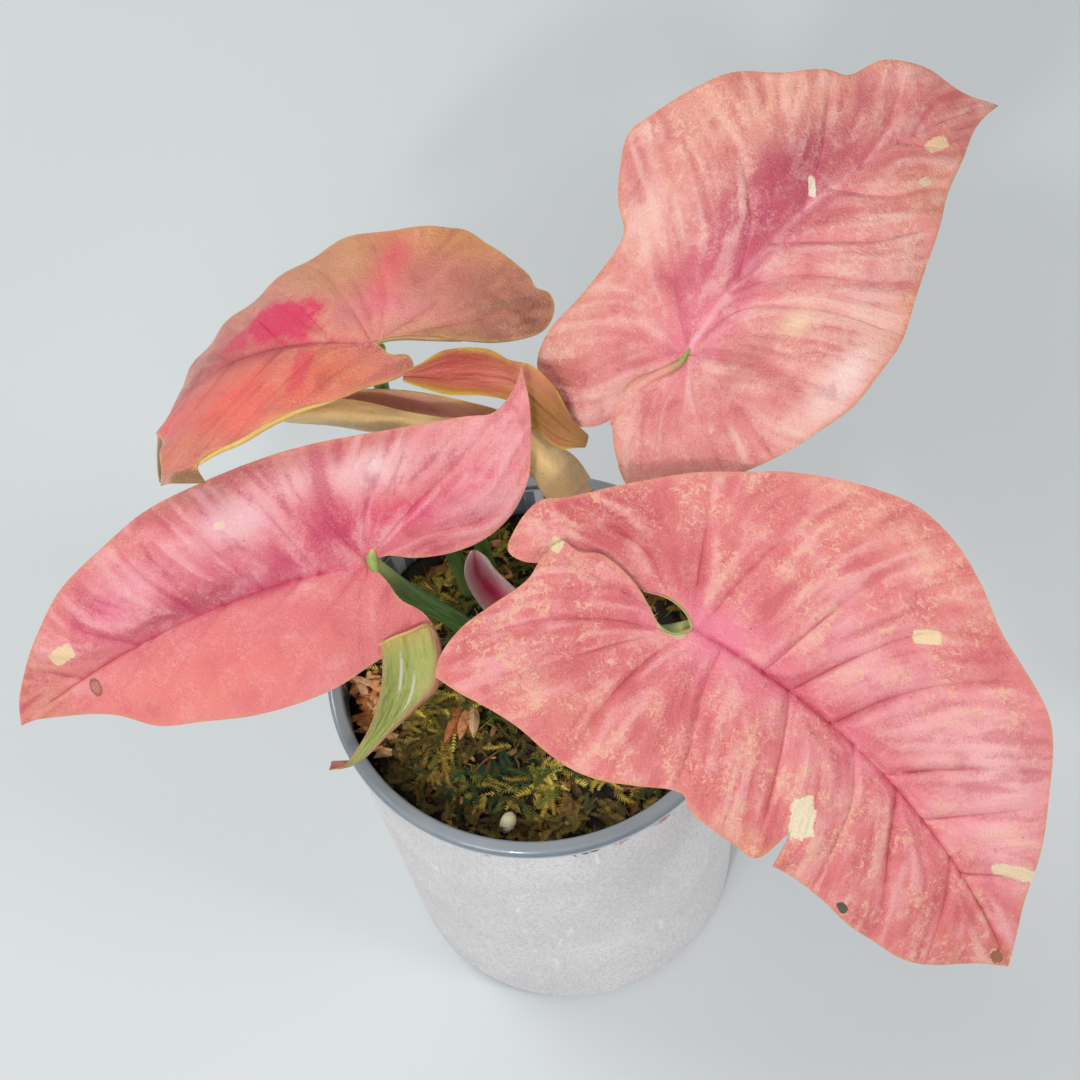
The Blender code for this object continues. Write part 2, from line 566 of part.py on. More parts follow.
def cone(name, place, direction, low_radius, high_radius, height, sides, collection):
    """A cone or cylinder standing on a place along a direction."""
    mesh = bmesh.new()
    bmesh.ops.create_cone(mesh, cap_ends=True, cap_tris=False, segments=sides, radius1=low_radius * MM,
                          radius2=high_radius * MM, depth=height * MM)
    along = Vector(direction).normalized()
    turn = along.to_track_quat("Z", "Y").to_matrix().to_4x4()
    middle = Vector(place) + along * height / 2
    mesh.transform(Matrix.Translation(middle * MM) @ turn)
    data = bpy.data.meshes.new(name)
    mesh.to_mesh(data)
    mesh.free()
    made = bpy.data.objects.new(name, data)
    collection.objects.link(made)
    return made


def chip(place, size, spin, tilt, collection):
    """A bark chip: a small tapered block lying in the mix."""
    mesh = bmesh.new()
    bmesh.ops.create_cube(mesh, size=1.0)
    for corner in mesh.verts:
        corner.co.x *= size[0] * (0.8 if corner.co.y > 0 else 1.0)
        corner.co.y *= size[1]
        corner.co.z *= size[2] * (0.7 if corner.co.x > 0 else 1.0)
    turn = Matrix.Rotation(spin, 4, "Z") @ Matrix.Rotation(tilt, 4, "Y")
    mesh.transform(Matrix.Scale(MM, 4) @ Matrix.Translation(Vector(place)) @ turn)
    data = bpy.data.meshes.new("chip")
    mesh.to_mesh(data)
    mesh.free()
    collection.objects.link(bpy.data.objects.new("chip", data))


def free_spot(draw, spots, clearance, reach):
    """A random place on the mix that is clear of every stem."""
    while True:
        angle = draw.uniform(0, 2 * pi)
        radius = reach * draw.random() ** 0.5
        x, y = radius * cos(angle), radius * sin(angle)
        if all((x - a) ** 2 + (y - b) ** 2 > clearance ** 2 for a, b in spots):
            return x, y


def stem_line(name):
    """A stem's points from the bottom of its hole to its top, the hole's stretch straight."""
    _, _, (x, y), bends = STEMS[name]
    soil = np.array([x, y, mix_height(x, y)])
    top = stem_top(name)
    lean = np.array(bends[0]) - soil
    lean /= np.linalg.norm(lean)
    lean = lean + np.array([0, 0, 3.0])
    lean /= np.linalg.norm(lean)
    above = smooth_line([soil, soil + lean * 2.0] + [np.array(b) for b in bends] + [top], 8.0)
    return np.vstack([[soil - lean * STEM_DEPTH], above]), soil, lean


def stem_top(name):
    """Where a stem ends, just under its blade."""
    if name in STEM_TOPS:
        return np.array(STEM_TOPS[name])
    blade = BLADES[STEM_BLADES[name]]
    _, _, frames = midrib_frames(blade)
    facing = frames[BEHIND][:, 2]
    _, high_radius, _, bends = STEMS[name]
    approach = np.array(blade["at"]) - np.array(bends[-1])
    approach /= np.linalg.norm(approach)
    slant = (1 - (approach @ facing) ** 2) ** 0.5
    return np.array(blade["at"]) - facing * (BLADE_THICKNESS / 2 + STEM_CLEARANCE + high_radius * slant)


def tube(name, line, low_radius, high_radius):
    """A tapering stem along a line, as a mesh with welded caps."""
    curve = bpy.data.curves.new(name, "CURVE")
    curve.dimensions = "3D"
    curve.bevel_depth = low_radius * MM
    curve.bevel_resolution = 2
    curve.use_fill_caps = True
    spline = curve.splines.new("POLY")
    spline.points.add(len(line) - 1)
    for k, place in enumerate(line):
        spline.points[k].co = (*[c * MM for c in place], 1)
        spline.points[k].radius = 1 + (high_radius / low_radius - 1) * k / (len(line) - 1)
    made = bpy.data.objects.new(name + "_curve", curve)
    GUIDES.objects.link(made)
    view = bpy.context.evaluated_depsgraph_get()
    mesh = bpy.data.meshes.new_from_object(made.evaluated_get(view))
    bpy.data.objects.remove(made)
    welded = bmesh.new()
    welded.from_mesh(mesh)
    bmesh.ops.remove_doubles(welded, verts=welded.verts[:], dist=0.00001)
    bmesh.ops.recalc_face_normals(welded, faces=welded.faces[:])
    welded.to_mesh(mesh)
    welded.free()
    mesh.shade_smooth()
    mesh.set_sharp_from_angle(angle=radians(50))
    part = bpy.data.objects.new(name, mesh)
    PARTS.objects.link(part)
    return part


def make_stems(holes):
    for name, (low_radius, high_radius, _, _) in STEMS.items():
        line, soil, lean = stem_line(name)
        tube(name, line, low_radius, high_radius)
        deep = soil - lean * (STEM_DEPTH + GAP)
        cone(name + "_hole", deep, lean, low_radius + HOLE_GAP, low_radius + HOLE_GAP,
             STEM_DEPTH + 12, HOLE_SIDES, holes)


def make_potting_mix(holes):
    """The mix with moss tufts and bark chips grown on, and a plain hole for each stem."""
    mix = make_mix_body()
    draw = random.Random(SEED)
    litter = bpy.data.collections.new("litter")
    bpy.context.scene.collection.children.link(litter)
    spots = [stem[2] for stem in STEMS.values()]
    for _ in range(MOSS_TUFTS):
        x, y = free_spot(draw, spots, 5.5, 35.0)
        lean = (draw.uniform(-0.5, 0.5), draw.uniform(-0.5, 0.5), 1)
        cone("tuft", (x, y, mix_height(x, y) - 1.5), lean, draw.uniform(1.3, 2.2), 0.3,
             draw.uniform(3.0, 4.4), 5, litter)
    for _ in range(BARK_CHIPS):
        x, y = free_spot(draw, spots, 7.5, 34.0)
        size = (draw.uniform(4, 7), draw.uniform(2, 3.5), draw.uniform(1.4, 2.2))
        chip((x, y, mix_height(x, y) + 0.2), size, draw.uniform(0, pi), draw.uniform(-0.25, 0.25), litter)
    join(mix, litter, "UNION")
    bpy.data.collections.remove(litter)
    join(mix, holes, "DIFFERENCE")
    mix.data.shade_flat()


def make_blades():
    for name, blade in BLADES.items():
        places, triangles = blade_surface(blade, BLADE_SPACING, MARGIN_SPACING)
        part = add_part(name, *thicken(places, triangles, BLADE_THICKNESS))
        if name == "leaf_blade_left":
            lobe = bpy.data.collections.new("lobe")
            bpy.context.scene.collection.children.link(lobe)
            flap = add_part("lobe", *thicken(*loft_surface(FOLDED_LOBE, 4, 2), SMALL_BLADE_THICKNESS))
            PARTS.objects.unlink(flap)
            lobe.objects.link(flap)
            join(part, lobe, "UNION")
            bpy.data.collections.remove(lobe)
    small = (("leaf_blade_furled", FURLED_LEAF, 8, 2), ("leaf_blade_cupped", CUPPED_LEAF, 7, 2),
             ("leaf_blade_unfurling", UNFURLING_LEAF, 5, 2))
    for name, rows, per_row, per_gap in small:
        places, triangles = loft_surface(rows, per_row, per_gap)
        add_part(name, *thicken(places, triangles, SMALL_BLADE_THICKNESS))


def give_materials():
    """One material for each part, with the longest matching name's colour."""
    for part in PARTS.objects:
        kind = max((key for key in COLOURS if part.name.startswith(key)), key=len)
        colour, roughness = COLOURS[kind]
        material = bpy.data.materials.new(part.name)
        material.use_nodes = True
        shader = material.node_tree.nodes["Principled BSDF"]
        shader.inputs["Base Color"].default_value = (*colour, 1)
        shader.inputs["Roughness"].default_value = roughness
        shader.inputs["Metallic"].default_value = 0.0
        part.data.materials.clear()
        part.data.materials.append(material)


def main():
    holes = bpy.data.collections.new("holes")
    bpy.context.scene.collection.children.link(holes)
    make_outer_pot()
    make_grow_pot()
    make_blades()
    make_stems(holes)
    make_potting_mix(holes)
    bpy.data.collections.remove(holes)
    give_materials()


for leftover in list(bpy.data.objects):
    bpy.data.objects.remove(leftover)
PARTS = bpy.data.collections.new("arrowhead_plant")
bpy.context.scene.collection.children.link(PARTS)
GUIDES = bpy.data.collections.new("guides")
bpy.context.scene.collection.children.link(GUIDES)
main()
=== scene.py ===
import random
from math import cos, pi, radians, sin

import bpy
import bmesh
import numpy as np
from mathutils import Matrix, Vector
from mathutils.geometry import delaunay_2d_cdt


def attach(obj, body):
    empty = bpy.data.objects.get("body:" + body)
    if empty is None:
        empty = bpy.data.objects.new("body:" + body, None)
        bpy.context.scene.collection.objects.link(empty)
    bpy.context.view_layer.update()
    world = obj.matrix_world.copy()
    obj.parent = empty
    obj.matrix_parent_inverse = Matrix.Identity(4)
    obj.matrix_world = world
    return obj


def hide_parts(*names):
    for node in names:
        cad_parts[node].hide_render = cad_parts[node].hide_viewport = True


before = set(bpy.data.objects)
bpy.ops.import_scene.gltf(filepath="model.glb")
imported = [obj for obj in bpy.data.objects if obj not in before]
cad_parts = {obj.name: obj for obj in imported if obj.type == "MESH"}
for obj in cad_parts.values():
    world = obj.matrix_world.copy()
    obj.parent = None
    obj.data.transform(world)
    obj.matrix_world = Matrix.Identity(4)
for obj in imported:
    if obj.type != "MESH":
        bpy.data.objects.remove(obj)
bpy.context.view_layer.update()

# Lengths are millimetres, angles are degrees and colours are 0 to 255 as seen; they are converted where
# meshes and materials are made. The lights and the camera are placed in metres.
MM = 0.001
SEED = 11

POT_HEIGHT = 105
POT_TOP_RADIUS = 44.1
POT_FOOT_RADIUS = 39.4
POT_WALL = 1.2
POT_FLOOR = 3
POT_FOOT_ROUNDING = 3
POT_INNER_ROUNDING = 1.5
GAP = 0.3
LIP_TOP = 108
LIP_RADIUS = 45
LIP_HEIGHT = 2.7
LIP_WIDTH = 3.2
LIP_INNER_ROUNDING = 0.9
LIP_OUTER_ROUNDING = 1.1
LINER_WALL = 0.8
LINER_ROUNDING = 1.8
LINER_INNER_ROUNDING = 1.2
ROUND_STEPS = 176

MIX_TOP = 98.6
MIX_BUMP = 1.2
MIX_REACH = 40           # no moss grows further out
STEM_DEPTH = 18
STEM_CLEARANCE = 0.45
STEM_SIDES = 22
ROLL_SIDES = 10

BLADE_THICKNESS = 0.66   # in the solids; the thinner sheets here have these half thicknesses
SHEET_HALF, SHEET_EDGE_LOSS = 0.27, 0.12
SMALL_SHEET_HALF, SMALL_SHEET_EDGE_LOSS = 0.25, 0.1
MESH_STEP = 0.74
MARGIN_STEP = 0.66
COURSE_STEP = 0.4
VEIN_ROW_REACH = 0.42    # the mesh has a row of corners this far to each side of a vein
VEIN_ROW_GAP = 0.36
VEIN_ROW_CLEARANCE = 0.3
SPLINE_STEPS = 16        # between two given points, before a line is read at equal steps
BEHIND = 60              # how far the midrib's frames go on behind the stem's end
PAST_TIP = 1.15          # and past the tip, as a share of the length
LOBE_CURL_END = -0.45    # where the lobes' own curl is full, as a share of the length
STRAIGHT = 1e-7          # the least bend, so that nothing is divided by none
WAVE_REACH = 9           # the margin's waves fade out this far in
PUFF_REACH = 2.6         # the fields between veins are full this far from one
FLAT_MARGIN = 6
EDGE_WIDTH = 0.6
LOFT_ACROSS, LOFT_ALONG = 45, 16
LOFT_LINE_STEP = 0.05
LOFT_EDGE_WIDTH, LOFT_RIB_WIDTH = 0.8, 0.7

CAMERA_PLACE = (0.004664, -0.22932, 0.56155)
CAMERA_TILT, CAMERA_ROLL = 60.4745, -9.4529
CAMERA_LENS, CAMERA_FILM, CAMERA_NEAREST = 80, 36, 0.01
FLOOR_HALF = 4
LAMPS_AIM = (0, 0, 0.12)
# Each lamp's place, energy, width and colour.
LAMPS = {
    "key": ((-0.45, 0.35, 0.85), 3.5, 0.42, (1, 0.99, 0.97)),
    "side": ((0.75, -0.45, 0.65), 2.5, 0.24, (1, 0.99, 0.98)),
    "front": ((-0.42, -0.75, 0.75), 3, 0.5, (1, 0.99, 0.98)),
    "glint": ((-0.3, -0.7, 0.8), 2, 0.06, (1, 0.99, 0.98)),
}

CREAM = (232, 212, 172)
SPECK = (110, 50, 40)
DARK_MOSS = (40, 84, 50)
BROWNS = [(92, 62, 34), (66, 46, 26), (122, 80, 42), (44, 34, 20), (150, 98, 54)]
TANS = [(206, 150, 94), (172, 126, 76), (220, 156, 104), (150, 118, 66)]
GREENS = [(156, 142, 54), (190, 168, 72), (116, 114, 44), (214, 186, 92), (92, 106, 44), (140, 114, 48)]
DULL_GREENS = [(104, 92, 44), (128, 112, 50), (80, 84, 40), (164, 142, 66), (140, 104, 54)]
BRIGHT_BARK = [(250, 172, 110), (222, 144, 84), (255, 204, 150)]

# Outlines are along and across the midrib, from the tip round each lobe to the stem, with None at a
# corner. "veins" run from the midrib or the stem's end outwards. Every soft place starts with its centre
# along and across and its reach along and across. A zone then has its colour and strength. A spot is a
# zone with a crisp edge, and can end with its turn. A calm place has the strength by which veins, streaks
# and blotches fade there, and a thick place has its own density of flecks. PLAIN is what a leaf has unless
# its own table says otherwise.
PLAIN = dict(lobe_curl=(0, 0), lobe_lift=(0, 0), thick=(), spots=(), ring=None, drawn=0.4, soft=0.06,
             ragged=(0.6, 1.2))
BLADES = {
    "leaf_blade_upper_right": dict(
        at=(38.7, 24.9, 175.5), length=88.5, heading=41.5, pitch=32, roll=-4.5, droop=62, sweep=-18,
            twist=21, back_droop=14.5, fold=(-9.5, -3), curl=(19, 25.5), lobe_lift=(-1, 1.3),
            wave=(0.5, 19, 0.3),
        left=[(88.5, 0), (80, 4), (75, 10), (71, 13), (66, 16), (59, 16.5), (56, 19.5), (50, 23.5),
            (44, 29.5), (37, 32.5), (30, 35), (25, 36), (20, 33), (15, 29), (11, 24), (6, 23.5), (-3, 25.5),
            (-11, 27), (-18, 26), (-22, 21), (-24, 13), (-22, 9), (-15, 5), (-8, 2.5), (-3, 1), (0, 0)],
        right=[(88.5, 0), (80, -3), (72, -8), (62, -14), (51, -21), (39, -27), (28, -32), (18, -33.5),
            (9, -33.5), (0, -31), (-8, -26.5), (-14, -22.5), (-22, -18), (-28, -12), (-28, -4), (-25, 1),
            (-21, 4.5), (-16, 7), (-11, 6.5), (-7, 4), (-4, 0.6), (-2.5, -0.4), (0, 0)],
        veins=[[(0, 0), (6, 6), (12, 12), (22, 25), (26, 33)], [(17, 0), (26, 5), (34, 16), (37, 28)],
            [(35, 0), (45, 6), (52, 13), (56, 18)], [(50, 0), (60, 4), (68, 11)],
            [(0, 1), (1, 10), (0, 17), (-6, 25)], [(-1, 1), (-8, 8), (-17, 15), (-20, 22)],
            [(64, 0), (72, 4), (78, 5)], [(1, 0), (12, -4), (21, -15), (27, -27)],
            [(26, 0), (34, -8), (41, -14), (52, -18)], [(42, 0), (50, -8), (62, -12)],
            [(0, -1), (5, -13), (10, -30)], [(-1, -1), (-8, -8), (-15, -18)],
            [(-2, -1), (-12, -2), (-24, -8)], [(60, 0), (68, -5), (74, -6)],
            [(14, 0), (24, -8), (34, -20), (42, -25)]],
        relief=(0.2, 0.66), rib=(0.22, (255, 190, 202)), drawn=0.34, base=(228, 142, 134),
            rim=(214, 136, 96), under=(178, 132, 104),
        zones=[(89, 0, 3.5, 3, (150, 140, 80), 0.95), (41, 8, 13, 8, (162, 22, 66), 1),
            (26, 6, 12, 8, (184, 46, 84), 0.9), (8, 0, 16, 9, (236, 118, 146), 0.75),
            (60, 2, 16, 6, (206, 92, 102), 0.6), (50, 19, 14, 7, (240, 176, 150), 0.75),
            (36, 27, 12, 7, (228, 160, 132), 0.6), (23, 32, 9, 5, (206, 104, 102), 0.6),
            (75, 7, 8, 7, (212, 112, 106), 0.6), (62, -12, 14, 7, (232, 150, 116), 0.8),
            (34, -29, 24, 4, (228, 132, 88), 0.9), (30, -22, 9, 5, (244, 200, 194), 0.55),
            (35, -10, 14, 6, (232, 136, 142), 0.6), (13, -29, 13, 4, (250, 226, 220), 0.8),
            (16, 22, 6, 7, (244, 196, 182), 0.6), (4, -11, 7, 4, (190, 132, 108), 0.55),
            (17, -15, 4.4, 2.6, (244, 214, 174), 0.85), (-20, 20, 9, 8, (184, 88, 70), 0.85),
            (-14, 9, 8, 2.5, (246, 196, 196), 0.6), (-9, 16, 7, 9, (226, 132, 128), 0.6),
            (-2, 24, 12, 4, (222, 148, 122), 0.6), (-8, -14, 10, 9, (216, 118, 118), 0.65),
            (24, 5, 12, 5, (182, 44, 84), 0.8), (15, 7, 8, 6, (206, 88, 112), 0.55),
            (24, -2.4, 16, 2.2, (208, 90, 116), 0.6), (-24, -10, 6, 9, (222, 134, 120), 0.6)],
        calm=[(-20, -14, 12, 10, 0.4)], thick=[(30, 28, 22, 8, 0.6), (40, -20, 24, 9, 0.6),
            (8, 0, 12, 8, 0.1), (41, 5, 10, 6, 0.2)],
        spots=[(39.6, 2.5, 2.3, 0.8, (244, 226, 206), 0.95, 50), (67, -4, 3, 1.5, (238, 208, 160), 0.85),
            (59, -9.5, 1.6, 0.9, CREAM, 0.7)],
        streaky=0.6, flecks=0.4, fleck=(240, 200, 172), pale=(248, 200, 192), deep=(184, 48, 74),
            vein=(236, 104, 138)),
    "leaf_blade_upper_left": dict(
        at=(-20.7, 42.9, 169), length=79.5, heading=160.5, pitch=1.5, roll=11, droop=88, sweep=7, twist=26,
            back_droop=29.5, fold=(1.5, -14), curl=(27.5, 12), wave=(0.5, 15, 1.2),
        left=[(79.5, 0), (70, 0.8), (62, 3), (54, 9), (48, 15), (44, 21), (41.5, 27.5), (40, 32.5), None,
            (34, 34.5), (28.5, 35), None, (31, 30.5), (27.5, 28), (22.5, 26), (17, 22), (11.5, 18.5),
            (3, 14.5), (-1, 10.5), (-6, 7.5), (-8.3, 4.5), (-6.5, 1.5), (-3, 2), (0, 0)],
        right=[(79.5, 0), (74, -3), (66, -7), (58, -11.5), (50, -13.5), (39, -15), (30, -18), (20, -22.5),
            (14, -25.5), (7, -27.5), (0, -28.5), (-7, -30), (-11, -30.5), (-16, -27.5), (-22, -25),
            (-25.4, -22.8), (-27.4, -20), (-30.2, -19.4), (-32, -16.4), (-31.6, -12.4), (-29.4, -9),
            (-24, -6), (-15, -4), (-8, -3), (-3, -2), (0, 0)],
        veins=[[(1, 0), (6, 8), (14, 18)], [(10, 0), (16, 10), (24, 24)], [(20, 0), (26, 12), (34, 26)],
            [(32, 0), (38, 12), (42, 20)], [(45, 0), (50, 6), (54, 9)],
            [(1, 0), (7, -8), (14, -17), (20, -22)], [(9, 0), (16, -7), (24, -15), (30, -18)],
            [(20, 0), (27, -8), (34, -15)], [(0, -1), (1, -12), (6, -25)],
            [(-1, -2), (-9, -12), (-14, -24)], [(-3, -3), (-15, -8), (-28, -16)],
            [(33, 0), (40, -6), (46, -12)], [(46, 0), (53, -6), (58, -10)]],
        relief=(0.15, 0.35), rib=(0.35, (196, 70, 96)), drawn=0.25, soft=0.34, ragged=(0.3, 1.7),
            base=(214, 130, 110), rim=(212, 164, 96), under=(162, 128, 74),
        zones=[(10, -20, 15, 9, (202, 146, 98), 0.9), (-8, -27, 17, 5, (214, 148, 88), 0.9),
            (1, -19, 3.6, 9, (228, 78, 92), 0.85), (-8, -19, 7, 5, (196, 100, 98), 0.6),
            (26, -12, 11, 6, (204, 142, 124), 0.7), (8, -5, 9, 5, (214, 122, 124), 0.65),
            (-1, -7, 7, 6, (244, 142, 158), 0.85), (-24, -14, 12, 10, (142, 88, 64), 0.95),
            (-12, -4.5, 12, 2.5, (168, 138, 74), 0.85), (-9, -12, 7, 5, (206, 130, 116), 0.6),
            (45, -2, 7, 6, (156, 58, 80), 0.9), (29, 0.8, 12, 3.2, (152, 52, 76), 0.95),
            (2, -10, 2.4, 7, (230, 96, 106), 0.6), (8, 9, 10, 8, (234, 118, 80), 0.85),
            (28, 14, 15, 13, (255, 98, 84), 0.95), (46, 12, 7, 10, (255, 84, 92), 0.85),
            (36, 26, 8, 4, (230, 128, 100), 0.7), (38, -8, 6, 4, (196, 98, 100), 0.6)],
        spots=[(31, 34, 5.5, 2.6, (142, 104, 52), 0.95), (22.4, -6.8, 9.4, 5.6, (226, 12, 88), 0.95, -8),
            (33, -5, 3.6, 2.6, (216, 40, 84), 0.8), (14, 8, 2.1, 7, (230, 44, 80), 0.6),
            (44, 6, 2.2, 5, (222, 40, 80), 0.6), (52, 4, 2.4, 3, (214, 44, 84), 0.7)],
        calm=[(28, 14, 20, 12, 0.6), (5, -20, 25, 10, 0.45)],
        streaky=0.5, flecks=0.12, fleck=(228, 178, 130), pale=(238, 160, 128), deep=(170, 54, 62),
            vein=(196, 48, 88)),
    "leaf_blade_left": dict(
        at=(-29.3, 3.8, 152.5), length=81.5, heading=180.5, pitch=-3, roll=-25.5, droop=20, sweep=26,
            twist=-5.5, back_droop=-26.5, fold=(-8.5, -11.5), curl=(21.5, 19), lobe_curl=(0, -3.5),
            wave=(0.4, 21, 2),
        left=[(81.5, 0), (78, 1), (72, 4), (66, 7), (61, 10), (54, 16), (44, 19.5), (33, 22.5), (22, 23.5),
            (11, 22.5), (3, 20), (-4, 17.5), (-11, 15.5), None, (-9, 12), (-5, 8.5), (-3, 4.5), (-1, 1.5),
            (0, 0)],
        right=[(81.5, 0), (78, -4), (72, -8.5), (65, -13), (58, -17), (46, -20.5), (37, -23), (26, -24),
            (8, -25), (-12, -24.5), (-25, -24), (-31, -23.5), (-36, -27), (-38.5, -31), None, (-38.5, -23),
            (-37, -16), (-34.5, -9), (-30, -3.5), (-24, 0), (-17, 1.5), (-9, 1), (-4, -0.5), (0, 0)],
        veins=[[(1, 1), (10, 8), (20, 16), (28, 22)], [(14, 0), (26, 8), (38, 16), (44, 19)],
            [(30, 0), (42, 7), (54, 14)], [(46, 0), (56, 6), (64, 8)], [(0, 1), (3, 8), (4, 18)],
            [(0, 0), (6, -10), (8, -22)], [(10, 0), (14, -9), (19, -22)], [(22, 0), (27, -9), (31, -20)],
            [(36, 0), (42, -11), (44, -20)], [(-1, -1), (-10, -8), (-24, -17), (-34, -25)],
            [(-3, -1), (-14, -3), (-26, -4), (-34, -12)], [(0, -1), (-2, -10), (-7, -18), (-11, -24)],
            [(50, 0), (58, -8), (60, -15)], [(64, 0), (70, -6), (72, -8)]],
        relief=(0.18, 0.4), rib=(0.35, (214, 60, 110)), drawn=0.4, ring=(62, 3, 1.2, 1.8),
            base=(224, 118, 120), rim=(216, 140, 112), under=(150, 160, 92),
        zones=[(36, 12, 44, 11, (230, 116, 110), 0.9), (20, 8, 12, 3, (218, 100, 112), 0.6),
            (44, 17, 14, 3, (238, 132, 118), 0.6), (54, 8, 9, 3, (236, 130, 120), 0.6),
            (34, -9, 22, 6, (216, 102, 128), 0.6), (32, -2.5, 24, 3, (164, 50, 78), 0.85),
            (52, -8, 7, 4, (232, 104, 146), 0.7), (44, -11, 6, 4, (238, 166, 178), 0.6),
            (14, -4, 12, 4, (206, 64, 108), 0.7), (4, -8, 7, 5, (196, 24, 84), 0.9),
            (-12, -8, 10, 3.2, (216, 16, 88), 1), (-5, -18, 8, 4, (248, 214, 214), 0.95),
            (22, -15, 7, 4.5, (250, 208, 216), 0.9), (10, -19, 6, 4, (244, 190, 196), 0.7),
            (-18, -18, 9, 3.5, (238, 172, 172), 0.6), (-24, -7, 10, 2.5, (246, 178, 190), 0.6),
            (-27, -12, 7, 3, (224, 92, 120), 0.5), (72, -7, 10, 8, (220, 146, 122), 0.75),
            (-33, -20, 6, 8, (240, 162, 168), 0.6), (32, -22.5, 26, 3, (194, 106, 98), 0.85),
            (76, 1, 7, 4, (212, 130, 96), 0.7), (0, -24, 14, 2.4, (204, 116, 104), 0.75)],
        calm=[(36, 13, 48, 13, 0.9)],
        spots=[(64, -6.4, 2.7, 1.8, (238, 212, 164), 0.85), (25, -15, 1.1, 0.8, (244, 220, 180), 0.8)],
        streaky=0.85, flecks=0.2, fleck=(240, 196, 176), pale=(245, 172, 178), deep=(184, 30, 80),
            vein=(206, 40, 98)),
    "leaf_blade_front_right": dict(
        at=(29.7, -25.9, 160), length=96.5, heading=-36.5, pitch=-11.5, roll=14.5, droop=39.5, sweep=-33.5,
            twist=2, back_droop=8.5, fold=(-14, -6), curl=(17.5, 24), lobe_curl=(-1, -4),
            lobe_lift=(-0.9, 1.2), wave=(0.5, 24, 0.9),
        left=[(96.5, 0), (93, 2), (85, 7), (77, 14), (68, 22), (61, 28), (56, 31), (48, 33), (42, 34.5),
            (35, 38), (28, 41), (21, 42), (14, 40), (3, 35), (-4, 31), (-13, 26), (-23, 18.5), (-32, 11),
            (-36.5, 8), (-38.2, 2), (-37.5, -3), (-34.5, -3.6), (-30.5, -2), (-26, 2.5), (-20, 3), (-11, 2),
            (-6, 3), (-2, 2), (0, 0)],
        right=[(96.5, 0), (92, -5), (87, -12), (80, -18), (71, -21.5), (64, -23.5), (55, -24.5), (46, -26),
            (42, -27), None, (39.5, -20), None, (38, -28), (32, -29), (24, -29.5), (19, -29), (16, -27.5),
            (6, -31), (0, -33), (-6, -34), (-12, -33.5), (-19, -32), (-26, -31.5), (-32, -31.5),
            (-37.5, -31), None, (-38.5, -27), (-37.5, -20.5), (-35, -14.5), (-31, -6.5), (-30.8, -2),
            (-29.8, 2), (-28.5, 3.6), None, (-25, 3), (-21.5, 4.5), (-17, 4), (-12, 2.2), (-10, 1),
            (-6, -2), (-3, -3), (0, 0)],
        veins=[[(2, 1), (4, 13), (7, 24), (13, 37)], [(16, 0), (19, 14), (23, 28), (28, 38)],
            [(22, 0), (28, 14), (34, 25), (42, 33)], [(32, 0), (37, 12), (43, 22), (50, 31)],
            [(46, 0), (54, 11), (62, 21), (66, 26)], [(58, 0), (64, 10), (69, 20)],
            [(72, 0), (77, 7), (81, 10)], [(0, 0), (-8, 5), (-14, 9), (-28, 10)],
            [(0, 1), (-4, 12), (-8, 24)], [(0, -1), (-4, -9), (-7, -20), (-8, -32)],
            [(-3, -2), (-18, -8), (-30, -16), (-37, -24)], [(-2, -2), (-9, -8), (-20, -19), (-30, -29)],
            [(7, 0), (8, -9), (12, -20), (14, -28)], [(22, 0), (27, -9), (32, -19), (36, -26)],
            [(38, 0), (45, -8), (49, -17), (52, -23)], [(50, 0), (57, -8), (66, -16), (70, -20)],
            [(68, 0), (75, -6), (82, -13)]],
        relief=(0.28, 0.85), rib=(0.4, (206, 60, 104)), drawn=0.26, base=(221, 114, 115),
            rim=(220, 144, 112), under=(180, 130, 100),
        zones=[(4, 0, 15, 8, (242, 134, 162), 0.85), (35, 1, 24, 4, (228, 100, 128), 0.65),
            (64, 1, 20, 5, (236, 116, 134), 0.55), (-18, -14, 15, 9, (206, 92, 98), 0.75),
            # The dark red zone at (-22, 10), along the front lobe's edge, is painted shadow cast by that
            # lobe on the upper one.
            (20, 35, 22, 5, (232, 150, 132), 0.6), (-22, 10, 14, 7, (192, 74, 74), 0.9),
            # The pale pink zones at (58, 17), (44, 12), (70, 9) and (28, 14) are painted sheen that stands
            # for glossy highlights between the veins.
            (-8, 6, 8, 4, (210, 96, 104), 0.6), (58, 17, 13, 9, (250, 194, 198), 0.8),
            (44, 12, 9, 7, (246, 178, 186), 0.6), (32, -6, 9, 4, (236, 150, 158), 0.5),
            (70, 9, 12, 6, (248, 176, 184), 0.7), (28, 14, 10, 8, (244, 166, 178), 0.65),
            (40, -8, 10, 6, (236, 156, 160), 0.4), (-12, -24, 18, 6, (224, 138, 122), 0.5),
            (38, -27, 13, 3, (214, 132, 92), 0.85), (94, -1, 5, 4, (200, 112, 72), 0.8),
            (-33, 0, 6, 4, (222, 132, 118), 0.5), (86, -8, 8, 6, (222, 116, 104), 0.5)],
        calm=[(4, 0, 12, 6, 0.5)], thick=[(6, 0, 16, 6, 0.1), (42, 4, 24, 6, 0.25), (60, 14, 10, 7, 0.3),
            (-18, 8, 12, 5, 0.2)],
        spots=[(39.2, -16.9, 4.4, 2.8, (238, 226, 192), 0.95, -45),
            (76.9, 9, 5, 1.6, (236, 214, 174), 0.95, 45), (34, 24.2, 2.6, 1.4, (240, 216, 168), 0.95, 45),
            (60, -22.4, 1.7, 0.9, (52, 70, 40), 1), (92.5, -1.5, 1.8, 1.2, (140, 84, 36), 0.9),
            (-29.6, 2.2, 1.5, 1.5, (226, 212, 160), 0.9), (-3, -2, 3, 1.2, (196, 204, 130), 0.6)],
        streaky=0.75, flecks=0.85, fleck=(234, 180, 148), pale=(248, 182, 182), deep=(192, 66, 80),
            vein=(206, 66, 104)),
}

